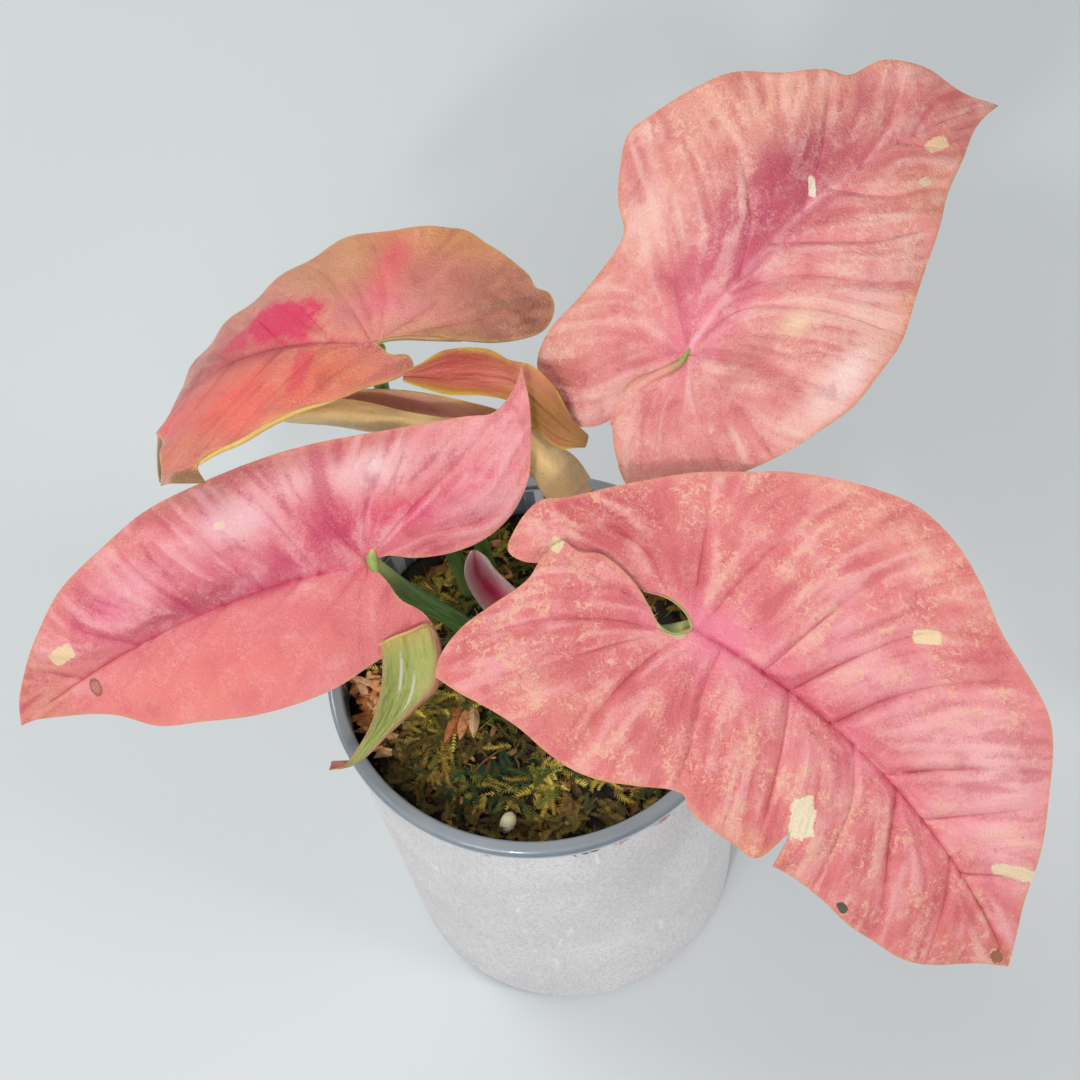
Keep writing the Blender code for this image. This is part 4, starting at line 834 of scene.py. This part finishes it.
def streaks(flat, courses, reach, cell, seed):
    """Random values drawn out along the veins, 0 to 1."""
    table = np.random.default_rng(seed).random((211, 211))
    total = grain(flat, cell, table)
    step = 0.7 * cell
    for hand in (-1, 1):
        place = flat.copy()
        last = vein_turns(place, courses)
        for _ in range(int(reach / cell / 0.7)):
            turn = vein_turns(place, courses)
            last = np.where(np.cos(turn - last) < 0, turn + pi, turn)
            place = place + hand * step * np.stack([np.cos(last), np.sin(last)], -1)
            total += grain(place, cell, table)
    return np.clip(0.5 + 0.2 * (total - total.mean()) / total.std(), 0, 1)


def flat_sheet(blade, courses):
    """Both halves of a blade as one flat sheet, in five columns and with its triangles.

    The columns are along, across, how far a point is from the margin, how far round that is, and the half.
    """
    count = int(blade["length"] / MARGIN_STEP) + 1
    midrib = np.stack([np.linspace(0, blade["length"], count), np.zeros(count)], -1)
    rows, triangles = np.empty((0, 5)), []
    for half, side in enumerate(("left", "right")):
        flat, faces, margin = half_blade(blade, side, midrib, courses)
        skip, shift = half * count, half * (len(rows) - count)
        triangles += [tuple(i + shift if i >= count else i for i in face) for face in faces]
        row = np.column_stack([flat, *line_distance(flat, margin), np.full(len(flat), half)])
        rows = np.vstack([rows, row[skip:]])
    return rows.T.copy(), triangles


def vein_shares(flat, courses):
    """How far each flat point is from the nearest vein, and how much it lies in one; veins get finer."""
    nearest = np.full(len(flat), 1e9)
    vein = np.zeros(len(flat))
    for course in courses:
        away, far = line_distance(flat, course)
        share = far / far.max()
        nearest = np.minimum(nearest, away)
        vein = np.maximum(vein, bell(away, 0.5 - 0.16 * share) * (1 - 0.8 * share))
    return nearest, vein


def blade_lift(blade, columns, nearest, vein, rib):
    """How far the sheet is raised by its margin's waves, its lobes, its puffed fields and its veins."""
    along, across, apart, run, half = columns
    height, pitch, phase = blade["wave"]
    lift = height * np.sin(2 * pi * run / pitch + phase + half) * ease(WAVE_REACH, 0, apart)
    lift *= ease(2, 12, np.where(half == 0, across, -across))
    overlap = ease(3, 12, -along) * ease(16, 6, np.abs(across))
    lift += np.where(half == 0, *blade["lobe_lift"]) * overlap
    groove, puff = blade["relief"]
    relief = puff * (1 - np.exp(-nearest / PUFF_REACH)) - groove * vein - blade["rib"][0] * rib
    return lift + relief * ease(0, FLAT_MARGIN, apart)


def blade_marks(blade, columns, guides, vein, rib, edge):
    """A large leaf's named values, with its veins and streaks faded in its calm places."""
    along, across = columns[:2]
    flat = np.stack([along, across], -1)
    top = painted(blade["base"], blade["zones"], along, across)
    rib_strength = 0.8 * rib * ease(1.05, 0.3, along / blade["length"])
    top += (linear(blade["rib"][1]) - top) * rib_strength[:, None]
    below = painted(blade["under"], [(0, 0, 30, 14, (196, 140, 120), 0.4)], along, across)
    streak = 0.5 * streaks(flat, guides, 4, 0.9, SEED) + 0.5 * streaks(flat, guides, 8, 2.2, 5)
    wild = np.ones(len(flat))
    for zone in blade["calm"]:
        far, strength = oval(along, across, zone), zone[4]
        wild *= 1 - 0.55 * strength * np.exp(-far ** 2)
        streak += (0.5 - streak) * strength * np.exp(-far)
        vein = vein * (1 - strength * np.exp(-far ** 2))
    fleck = np.full(len(flat), float(blade["flecks"]))
    for zone in blade["thick"]:
        fleck += (zone[4] - fleck) * np.exp(-oval(along, across, zone))
    return leaf_marks([top, below], along, across,
                      streak=streak, vein=vein, edge=edge, fleck=fleck, wild=wild)


def make_blade(name, blade):
    """One large leaf with its sunken veins and the puffed fields between them."""
    length = blade["length"]
    courses = [smooth_line(points, COURSE_STEP) for points in blade["veins"]]
    middle = np.stack([np.linspace(0, length, 60), np.zeros(60)], -1)
    columns, triangles = flat_sheet(blade, courses)
    along, across, apart = columns[:3]
    flat = np.stack([along, across], -1)
    nearest, vein = vein_shares(flat, courses)
    away, _ = line_distance(flat, middle)
    rib = bell(away, 0.32 + 0.28 * ease(length, 0, along))
    lift = blade_lift(blade, columns, np.minimum(nearest, away), vein, rib)
    places = on_blade(blade, along, across, lift, midrib_frames(blade))
    edge = bell(apart, EDGE_WIDTH)
    body, faces = thicken(places, facing_up(places, triangles), SHEET_HALF - SHEET_EDGE_LOSS * edge)
    edge *= 0.4 + 0.6 * ease(3, 12, length - along)
    guides = [course[::3] for course in courses] + [middle]
    marks = blade_marks(blade, columns, guides, vein, rib, edge)
    add_piece(name.replace("leaf_blade", "leaf"), name, body, faces, marks, leaf_material(name, blade))


def make_loft(name, loft):
    """A small or folded piece of leaf through its rows."""
    across = np.array([evenly(smooth_line(row, LOFT_LINE_STEP), LOFT_ACROSS) for row in loft["rows"]])
    count = (len(loft["rows"]) - 1) * LOFT_ALONG + 1
    columns = [evenly(smooth_line(across[:, k], LOFT_LINE_STEP), count) for k in range(LOFT_ACROSS)]
    places = np.array(columns).transpose(1, 0, 2).reshape(-1, 3)
    triangles = []
    for i in range(count - 1):
        for a in range(i * LOFT_ACROSS, (i + 1) * LOFT_ACROSS - 1):
            triangles += [(a, a + LOFT_ACROSS, a + LOFT_ACROSS + 1), (a, a + LOFT_ACROSS + 1, a + 1)]
    u = np.repeat(np.linspace(0, 1, count), LOFT_ACROSS)
    v = np.tile(np.linspace(0, 1, LOFT_ACROSS), count)
    length, width = loft["size"]
    edge = bell(np.minimum(v, 1 - v) * width, LOFT_EDGE_WIDTH)
    half = SMALL_SHEET_HALF - SMALL_SHEET_EDGE_LOSS * edge
    body, faces = thicken(places, facing_up(places, triangles), half)
    top, below = painted(loft["top"], loft["zones"], u, v), painted(loft["under"], [], u, v)
    table = np.random.default_rng(SEED).random((97, 97))
    streak = 0.3 + 0.4 * grain(np.stack([u * length * 0.2, v * width], -1), 0.8, table)
    marks = leaf_marks([top, below], u * length, v * width, streak=streak, edge=edge,
                       vein=0.7 * bell((v - 0.5) * width, LOFT_RIB_WIDTH))
    tones = {**loft, "pale": loft["rim"], "vein": loft["deep"], "fleck": CREAM, "streaky": 0.45,
             "drawn": 0.45}
    add_piece(name, loft["node"], body, faces, marks, leaf_material(name, tones, loft["gloss"], 0.5))


def tube(line, radii, sides):
    """Places and faces of a tube with closed ends, one radius for each point of its line."""
    line = np.asarray(line, float)
    forward = unit(np.gradient(line, axis=0))
    side = np.cross(forward[0], (0.3, 0.9, 0.2))
    places, faces = [], []
    for k, (place, ahead, radius) in enumerate(zip(line, forward, radii)):
        side = unit(side - ahead * (side @ ahead))
        other = np.cross(ahead, side)
        places += [place + radius * (x * side + y * other) for x, y in circle(sides, 1)]
        if k:
            start = (k - 1) * sides
            for a, b in zip(range(start, start + sides), [*range(start + 1, start + sides), start]):
                faces.append((a, b, b + sides, a + sides))
    faces += [range(sides)[::-1], range(len(places) - sides, len(places))]
    return places, faces


def make_roll(leaf, ending, points, radius, first, last):
    """A thin roll on a leaf: beside its stem's end, on its margin or round its folded lobe."""
    node = "leaf_blade_" + leaf
    blade = BLADES[node]
    course = smooth_line(points, COURSE_STEP)
    if ending != "lobe_rim":
        course = on_blade(blade, *course.T, midrib_frames(blade))
    share = np.linspace(0, 1, len(course))
    radii = radius * np.clip(np.sin(pi * np.clip(share, 0.04, 0.96)) ** 0.5, 0.25, 1)
    places, faces = tube(course, radii, ROLL_SIDES)
    along = np.repeat(share, ROLL_SIDES)[:, None]
    tone = linear(first) + (linear(last) - linear(first)) * ease(0.04, 0.34, along)
    run = np.repeat(np.arange(len(course)) * COURSE_STEP, ROLL_SIDES)
    tones = {**blade, "deep": (150, 140, 70), "pale": (226, 216, 150), "spots": (), "ring": None}
    add_piece(f"leaf_{leaf}_{ending}", node, places, faces, leaf_marks([tone], run, 0 * run),
              leaf_material(f"{node}_{ending}", tones, 0.35, 0.5))


def mix_height(x, y):
    """The potting mix's lumpy top, as its solid has it."""
    return MIX_TOP + MIX_BUMP * (sin(0.21 * x + 0.6) * cos(0.17 * y) + 0.5 * sin(0.43 * x - 0.37 * y))


def stem_top(name):
    """Where a stem ends, just under its blade."""
    _, high_radius, _, bends, top = STEMS[name]
    if top:
        return top
    blade = BLADES[name.replace("stem", "leaf_blade")]
    facing = midrib_frames(blade)[2][BEHIND][:, 2]
    approach = unit(np.array(blade["at"]) - np.array(bends[-1]))
    slant = (1 - (approach @ facing) ** 2) ** 0.5
    return np.array(blade["at"]) - facing * (BLADE_THICKNESS / 2 + STEM_CLEARANCE + high_radius * slant)


def stem_material():
    n = Nodes("stem_skin", (70, 116, 48))
    up = n.mark("up")
    fibres = n.noise(n.stretch(n.mark("flat", "Vector"), (2.2, 0.12, 1)), 1, 4, 0.6)
    n.tint(((112, 154, 74), fibres.ramp(0.35, 0.7)), ((186, 190, 116), up.ramp(0.82, 1, 0, 0.75)),
           ((150, 150, 104), up.ramp(0.35, 0, 0, 0.5)))
    return n.shade({"Roughness": fibres.ramp(0.2, 0.8, 0.5, 0.36), "Subsurface Weight": 0.1,
                    "Subsurface Scale": 0.002, **n.bump(fibres, 0.15, 0.6)})


def make_stem(name, skin):
    low, high, (x, y), bends, _ = STEMS[name]
    soil = np.array([x, y, mix_height(x, y)])
    lean = unit(unit(np.array(bends[0]) - soil) + np.array([0, 0, 3]))
    above = smooth_line([soil, soil + lean * 2, *bends, stem_top(name)], 1.6)
    line = np.vstack([soil - lean * np.linspace(STEM_DEPTH, 2, 5)[:, None], above])
    share = np.linspace(0, 1, len(line))
    run = run_along(np.linalg.norm(np.diff(line, axis=0), axis=1))
    places, faces = tube(line, low + (high - low) * share, STEM_SIDES)
    x, y = np.tile(np.transpose(circle(STEM_SIDES, 3)), len(line))
    marks = {"up": np.repeat(share, STEM_SIDES), "flat": np.stack([x, np.repeat(run, STEM_SIDES), y], -1)}
    add_piece(name.replace("stem", "petiole"), name, places, faces, marks, skin)


def turned(name, node, profile, material):
    """A finely stepped round piece from its profile, inner floor to outer floor."""
    ring = [point for point in profile if point[0] > 0]
    size = len(ring)
    places = [(radius * x, radius * y, height)
              for x, y in circle(ROUND_STEPS, 1) for radius, height in ring]
    first, last = len(places), len(places) + 1
    places += [(0, 0, profile[0][1]), (0, 0, profile[-1][1])]
    faces = []
    for k in range(ROUND_STEPS):
        here, after = k * size, (k + 1) % ROUND_STEPS * size
        faces.append((first, here, after))
        faces += [(here + j, here + j + 1, after + j + 1, after + j) for j in range(size - 1)]
        faces.append((here + size - 1, last, after + size - 1))
    add_piece(name, node, places, faces, {}, material, 40)


def rounded(radius, height, rounding, first, last, steps):
    """Points round a profile's corner, given where it would be sharp; angles are from outwards."""
    middle = radians((first + last) / 2)
    radius -= np.sign(cos(middle)) * rounding
    height -= np.sign(sin(middle)) * rounding
    angles = [radians(first + (last - first) * k / steps) for k in range(steps + 1)]
    return [(radius + rounding * cos(angle), height + rounding * sin(angle)) for angle in angles]


def pot_radius(height):
    return POT_FOOT_RADIUS + (POT_TOP_RADIUS - POT_FOOT_RADIUS) * height / POT_HEIGHT


def liner_radius(height):
    return pot_radius(height) - POT_WALL - GAP


def outer_pot_material():
    """Matt pale plastic with fine speckle, faint scuffs and soil dust near the rim."""
    n = Nodes("outer_pot_plastic", (213, 210, 211))
    place = n.place()
    speckle = n.noise(n.stretch(place, (1, 1, 0.6)), 1400, 3, 0.65)
    scuff = n.noise(n.stretch(place, (1, 1, 0.25)), 420, 5, 0.7, 0.6)
    dust = n.cells(place, 260).ramp(0.16, 0.06) * n.above(place, 100, 105)
    n.tint(((224, 221, 221), n.noise(place, 45, 4, 0.6).ramp(0.3, 0.7)),
           ((184, 180, 183), speckle.ramp(0.48, 0.64, 0, 0.5)),
           ((240, 238, 238), speckle.ramp(0.45, 0.34, 0, 0.4)),
           ((252, 251, 250), scuff.ramp(0.58, 0.7, 0, 0.5)),
           ((198, 196, 198), scuff.ramp(0.42, 0.3, 0, 0.35)), ((70, 52, 40), dust * 0.8))
    for centre, radius, tone in STAINS:
        n.tint((tone, n.near(place, centre, radius) * speckle.ramp(0.36, 0.46)))
    return n.shade({"Roughness": scuff.ramp(0.3, 0.7, 0.62, 0.5), **n.bump(speckle + scuff, 0.05, 0.5)})


def liner_material():
    """Smoky grey glossy plastic, with pale streaks painted down the inner wall as reflections, and painted
    light and shade on the lip.
    """
    n = Nodes("grow_pot_plastic", (122, 132, 144))
    place = n.place()
    # Pale vertical streaks, painted below the lip, stand for reflections on the glossy wall; the bump
    # follows them too.
    streak = n.noise(n.stretch(place, (1, 1, 0.06)), 420, 4, 0.6)
    inner = n.above(place, 106.2, 105)
    soft = n.noise(place, 90, 3, 0.5)
    # The lip's top is painted lighter as if lit, the thin bright line at its lower edge is a painted
    # highlight, and the band between them is painted shade.
    n.tint(((140, 149, 158), soft.ramp(0.35, 0.7)), ((168, 176, 182), n.above(place, 107.5, 107.9) * 0.5),
           ((222, 226, 228), inner * streak.ramp(0.5, 0.6)),
           ((214, 220, 224), n.above(place, 105.2, 105.6) * n.above(place, 106.3, 105.9) * 0.7),
           ((82, 96, 111), n.above(place, 106.2, 106.5) * n.above(place, 107.5, 107.1) * 0.65))
    return n.shade({"Roughness": soft.ramp(0.3, 0.75, 0.06, 0.16), "Coat Weight": 0.4,
                    **n.bump(streak * inner, 0.05, 0.4)})


def make_pots():
    top = POT_TOP_RADIUS
    profile = [(0, POT_FLOOR)]
    profile += rounded(pot_radius(POT_FLOOR) - POT_WALL, POT_FLOOR, POT_INNER_ROUNDING, -90, 0, 5)
    profile += [(top - POT_WALL, POT_HEIGHT), (top - 0.2, POT_HEIGHT), (top, POT_HEIGHT - 0.3),
                (pot_radius(60), 60)]
    profile += rounded(pot_radius(POT_FOOT_ROUNDING), 0, POT_FOOT_ROUNDING, 0, -90, 8)
    turned("pot_outside", "outer_pot", profile + [(0, 0)], outer_pot_material())
    floor, under_lip = POT_FLOOR + GAP, LIP_TOP - LIP_HEIGHT
    foot, neck = liner_radius(floor), liner_radius(under_lip)
    profile = [(0, floor + LINER_WALL)]
    profile += rounded(foot - LINER_WALL, floor + LINER_WALL, LINER_INNER_ROUNDING, -90, 0, 4)
    profile += [(neck - LINER_WALL, under_lip)]
    profile += rounded(LIP_RADIUS - LIP_WIDTH, LIP_TOP, LIP_INNER_ROUNDING, 180, 90, 6)
    profile += rounded(LIP_RADIUS, LIP_TOP, LIP_OUTER_ROUNDING, 90, 0, 6)
    profile += [(LIP_RADIUS - 0.12, LIP_TOP - 1.7), (LIP_RADIUS, LIP_TOP - 2),
                (LIP_RADIUS, under_lip + 0.3), (LIP_RADIUS - 0.3, under_lip), (neck, under_lip)]
    profile += rounded(foot, floor, LINER_ROUNDING, 0, -90, 4)
    turned("pot_liner", "grow_pot", profile + [(0, floor)], liner_material())


def soil_material():
    n = Nodes("potting_mix_grain")
    fine = n.noise(n.place(), 900, 4, 0.65)
    n.tint(((40, 32, 18), fine.ramp(0.55, 0.3, 0, 0.6) * n.mark("tone", "Alpha")))
    return n.shade({"Roughness": 0.85, **n.bump(fine, 0.3, 0.8)})


class Heap:
    """The potting mix: many small bits in one mesh, each with its own colour and share of grit."""

    def __init__(self):
        self.places, self.faces, self.tones = [], [], []
        self.draw = random.Random(SEED)
        limits = ((0.5, 2.4), (0, 2 * pi), (0, 2 * pi), (0.1, 0.4))
        self.bumps = [[self.draw.uniform(*limit) for limit in limits] for _ in range(14)]

    def add(self, places, faces, colour, grit=1):
        start = len(self.places)
        self.places += list(places)
        self.faces += [tuple(i + start for i in face) for face in faces]
        self.tones += [(*linear(colour), grit)] * len(places)

    def level(self, x, y):
        """The top's height with its finer bumps."""
        fine = sum(size * sin(rate * (x * cos(turn) + y * sin(turn)) + start)
                   for rate, turn, start, size in self.bumps)
        return mix_height(x, y) + 0.6 * fine

    def body(self):
        """The mix itself, from its bumpy top down to the liner's floor."""
        inner = liner_radius(MIX_TOP) - LINER_WALL - GAP - 0.15
        bottom = POT_FLOOR + 2 * GAP + LINER_WALL
        foot = liner_radius(bottom) - LINER_WALL - GAP - 1.6
        rings, spokes = 46, 190
        places, faces = [(0, 0, self.level(0, 0))], []
        for ring in range(1, rings + 1):
            for x, y in circle(spokes, inner * ring / rings):
                places.append((x, y, self.level(x, y) if ring < rings - 1 else MIX_TOP - 1.6))
        places += [(x, y, bottom) for x, y in circle(spokes, foot)] + [(0, 0, bottom)]
        last = 1 + rings * spokes
        for k in range(spokes):
            after = (k + 1) % spokes
            faces.append((0, 1 + k, 1 + after))
            for start in range(1, last, spokes):
                a, b = start + k, start + after
                faces.append((a, a + spokes, b + spokes, b))
            faces.append((last + after, last + k, len(places) - 1))
        self.add(places, faces, (30, 24, 14))

    def spot(self, reach):
        angle, radius = self.draw.uniform(0, 2 * pi), reach * self.draw.random() ** 0.5
        return radius * cos(angle), radius * sin(angle)

    def fibre(self, colour, size):
        draw = self.draw
        x, y = self.spot(37)
        turn, bend = draw.uniform(0, 2 * pi), draw.uniform(-0.9, 0.9)
        count = 6
        step = size / count
        line = [np.array([x, y, self.level(x, y) + draw.uniform(-0.3, 0.8)])]
        for _ in range(count):
            turn += bend / count + draw.uniform(-0.3, 0.3)
            place = line[-1] + np.array([step * cos(turn), step * sin(turn), draw.uniform(-0.28, 0.32)])
            if np.hypot(place[0], place[1]) > MIX_REACH - 1:
                break
            line.append(place)
        if len(line) > 2:
            radii = draw.uniform(0.1, 0.28) * np.sin(np.linspace(0.35, pi - 0.2, len(line)))
            self.add(*tube(line, radii, 4), colour)

    def chunk(self, x, y, size, colour, rise):
        draw = self.draw
        mesh = bmesh.new()
        for _ in range(16):
            mesh.verts.new([draw.uniform(-half, half) * size for half in (1, 0.42, 0.36)])
        bmesh.ops.convex_hull(mesh, input=mesh.verts[:])
        for corner in [v for v in mesh.verts if not v.link_faces]:
            mesh.verts.remove(corner)
        turn = Matrix.Rotation(draw.uniform(0, 2 * pi), 4, "Z")
        tilt = Matrix.Rotation(draw.uniform(-0.5, 0.5), 4, "X")
        mesh.transform(Matrix.Translation((x, y, self.level(x, y) + rise)) @ (turn @ tilt))
        mesh.verts.index_update()
        faces = [[v.index for v in face.verts] for face in mesh.faces]
        self.add([tuple(v.co) for v in mesh.verts], faces, colour)
        mesh.free()

    def sprig(self, x, y, colour, size):
        """A moss shoot: a curving stalk with short leaves in pairs."""
        draw = self.draw
        turn, rise, bend = draw.uniform(0, 2 * pi), draw.uniform(0.05, 0.7), draw.uniform(-0.12, 0.12)
        at = np.array([x, y, self.level(x, y) + draw.uniform(-0.2, 0.9)])
        pairs = 11
        for k in range(pairs):
            turn += bend
            rise -= 0.06
            ahead = unit(np.array([cos(turn), sin(turn), rise]))
            side = np.array([-sin(turn), cos(turn), 0])
            lift = np.cross(ahead, side)
            at = at + ahead * (size / pairs)
            if np.hypot(at[0], at[1]) > MIX_REACH:
                break
            reach = draw.uniform(1, 1.65) * (1 - 0.06 * k)
            for hand in (-1, 1):
                tip = at + hand * side * reach * 0.8 + ahead * reach * 0.8
                tip = tip + lift * reach * draw.uniform(0, 0.5)
                bits = [at - ahead * 0.32, at + ahead * 0.32, tip, at + lift * 0.16]
                self.add(bits, [(0, 1, 2), (1, 3, 2), (3, 0, 2), (0, 3, 1)], colour)


def add_bark(heap, count, reach, tones, sizes, rises):
    for _ in range(count):
        x, y = heap.spot(reach)
        heap.chunk(x, y, heap.draw.uniform(*sizes), heap.draw.choice(tones), heap.draw.uniform(*rises))


def add_fibres(heap, count, tones, sizes):
    for _ in range(count):
        heap.fibre(heap.draw.choice(tones), heap.draw.uniform(*sizes))


def add_moss(heap):
    """Clumps of shoots, each in one tone, and the darker shoots near the front."""
    draw = heap.draw
    for _ in range(95):
        x, y = heap.spot(35)
        tone, glow = draw.choice(GREENS), draw.uniform(0.6, 1.35)
        tone = tuple(min(250, value * glow) for value in tone)
        for _ in range(12):
            near_x, near_y = x + draw.gauss(0, 2.6), y + draw.gauss(0, 2.6)
            if np.hypot(near_x, near_y) < 37.5:
                heap.sprig(near_x, near_y, tone, draw.uniform(3.5, 8))
    for _ in range(40):
        heap.sprig(draw.gauss(-11, 3), draw.gauss(-24, 2), DARK_MOSS, draw.uniform(3, 6))


def add_front_edge(heap):
    """Bark with short dull shoots, where the mix meets the liner's front."""
    draw = heap.draw
    for _ in range(110):
        angle, far = draw.uniform(-2.9, -0.1), draw.uniform(33, 38.6)
        x, y = far * cos(angle), far * sin(angle)
        heap.chunk(x, y, draw.uniform(0.6, 1.5), draw.choice(BROWNS + TANS[1:2]), draw.uniform(0.2, 1))
        tone = draw.choice(DULL_GREENS)
        for _ in range(3):
            heap.sprig(x + draw.gauss(0, 1.2), y + draw.gauss(0, 1.2), tone, draw.uniform(2.5, 5))


def add_left_bark(heap):
    """The bright bark at the liner's left, then the single chips."""
    draw = heap.draw
    for _ in range(110):
        x, y = draw.gauss(-37, 1.6), draw.gauss(-2, 4.5)
        if np.hypot(x, y) < MIX_REACH:
            heap.chunk(x, y, draw.uniform(1, 2.9), draw.choice(BRIGHT_BARK), draw.uniform(0.8, 2.6))
    for x, y, size, colour in CHIPS:
        heap.chunk(x, y, size, colour, 1)


def add_sliver(heap):
    """Three tan splinters side by side."""
    start_y = -5.5
    height = heap.level(-16.5, start_y) + 0.9
    for shift, turn, tone in ((0, 0, (255, 182, 122)), (1.5, 0.5, (255, 208, 160)),
                              (-1.5, -0.6, (226, 138, 84))):
        start = np.array([-16.5 + shift, start_y, height])
        step = np.array([-0.25 + 0.3 * turn, -0.9, 0.3])
        line = [start + step * t for t in np.linspace(0, 9.5, 10)]
        heap.add(*tube(line, 1.3 * np.sin(np.linspace(0.3, pi - 0.1, 10)), 5), tone)


def add_pellet(heap):
    x, y = -11.5, -33
    centre = np.array([x, y, heap.level(x, y) + 1.9])
    line = [centre + np.array([0.5, 0.9, 0.1]) * t for t in np.linspace(-2.2, 2.2, 9)]
    radii = 1.7 * np.sqrt(np.clip(1 - np.linspace(-0.97, 0.97, 9) ** 2, 0.02, 1))
    heap.add(*tube(line, radii, 12), (255, 250, 206), 0.2)


def make_soil():
    """Dark mix with bark, fibres and moss, inside the liner."""
    heap = Heap()
    heap.body()
    add_bark(heap, 420, 37.5, BROWNS, (0.7, 2.1), (0, 0.7))
    add_bark(heap, 90, 36.5, TANS, (0.6, 1.8), (0.4, 1.4))
    add_fibres(heap, 420, BROWNS + GREENS, (4, 10))
    add_fibres(heap, 130, TANS, (3, 9))
    add_moss(heap)
    add_front_edge(heap)
    add_left_bark(heap)
    add_sliver(heap)
    add_pellet(heap)
    marks = {"tone": heap.tones}
    add_piece("potting_mix_surface", "potting_mix", heap.places, heap.faces, marks, soil_material(), 40)


def make_floor():
    floor = bpy.data.meshes.new("floor")
    a, b = -FLOOR_HALF, FLOOR_HALF
    floor.from_pydata([(a, a, 0), (b, a, 0), (b, b, 0), (a, b, 0)], [], [(0, 1, 2, 3)])
    n = Nodes("floor_paper", (210, 215, 217))
    n.tint(((213, 218, 220), n.noise(n.place(), 3, 2, 0.5).ramp(0.3, 0.7)))
    floor.materials.append(n.shade({"Roughness": 0.9, "Specular IOR Level": 0.1}))
    ground = bpy.data.objects.new("floor", floor)
    bpy.context.scene.collection.objects.link(ground)


def make_lights():
    """An even pale sky and the soft lamps."""
    scene = bpy.context.scene
    scene.world = bpy.data.worlds.new("studio")
    scene.world.use_nodes = True
    sky = scene.world.node_tree.nodes["Background"].inputs
    sky["Color"].default_value = (0.97, 0.985, 1, 1)
    sky["Strength"].default_value = 0.42
    for name, (place, energy, width, colour) in LAMPS.items():
        lamp = bpy.data.lights.new(name, "AREA")
        lamp.energy, lamp.size, lamp.color = energy, width, colour
        holder = bpy.data.objects.new(name, lamp)
        holder.location = place
        aim = Vector(LAMPS_AIM) - Vector(place)
        holder.rotation_euler = aim.to_track_quat("-Z", "Y").to_euler()
        scene.collection.objects.link(holder)


def make_camera():
    """The camera at the photograph's view."""
    scene = bpy.context.scene
    camera = bpy.data.cameras.new("camera")
    camera.lens, camera.sensor_width, camera.clip_start = CAMERA_LENS, CAMERA_FILM, CAMERA_NEAREST
    eye = bpy.data.objects.new("camera", camera)
    tilt, roll = radians(CAMERA_TILT), radians(CAMERA_ROLL)
    back = np.array([0, -cos(tilt), sin(tilt)])
    right = np.array([1, 0, 0])
    up = np.cross(back, right)
    turn = [cos(roll) * right + sin(roll) * up, -sin(roll) * right + cos(roll) * up, back]
    eye.matrix_world = Matrix.Translation(CAMERA_PLACE) @ Matrix(np.transpose(turn)).to_4x4()
    scene.collection.objects.link(eye)
    scene.camera = eye
    scene.view_settings.view_transform = "Standard"


make_floor()
make_lights()
make_camera()
for blade_name, blade_values in BLADES.items():
    make_blade(blade_name, blade_values)
for loft_name, loft_values in LOFTS.items():
    make_loft(loft_name, loft_values)
for roll_values in ROLLS:
    make_roll(*roll_values)
stem_skin = stem_material()
for stem_name in STEMS:
    make_stem(stem_name, stem_skin)
make_pots()
make_soil()
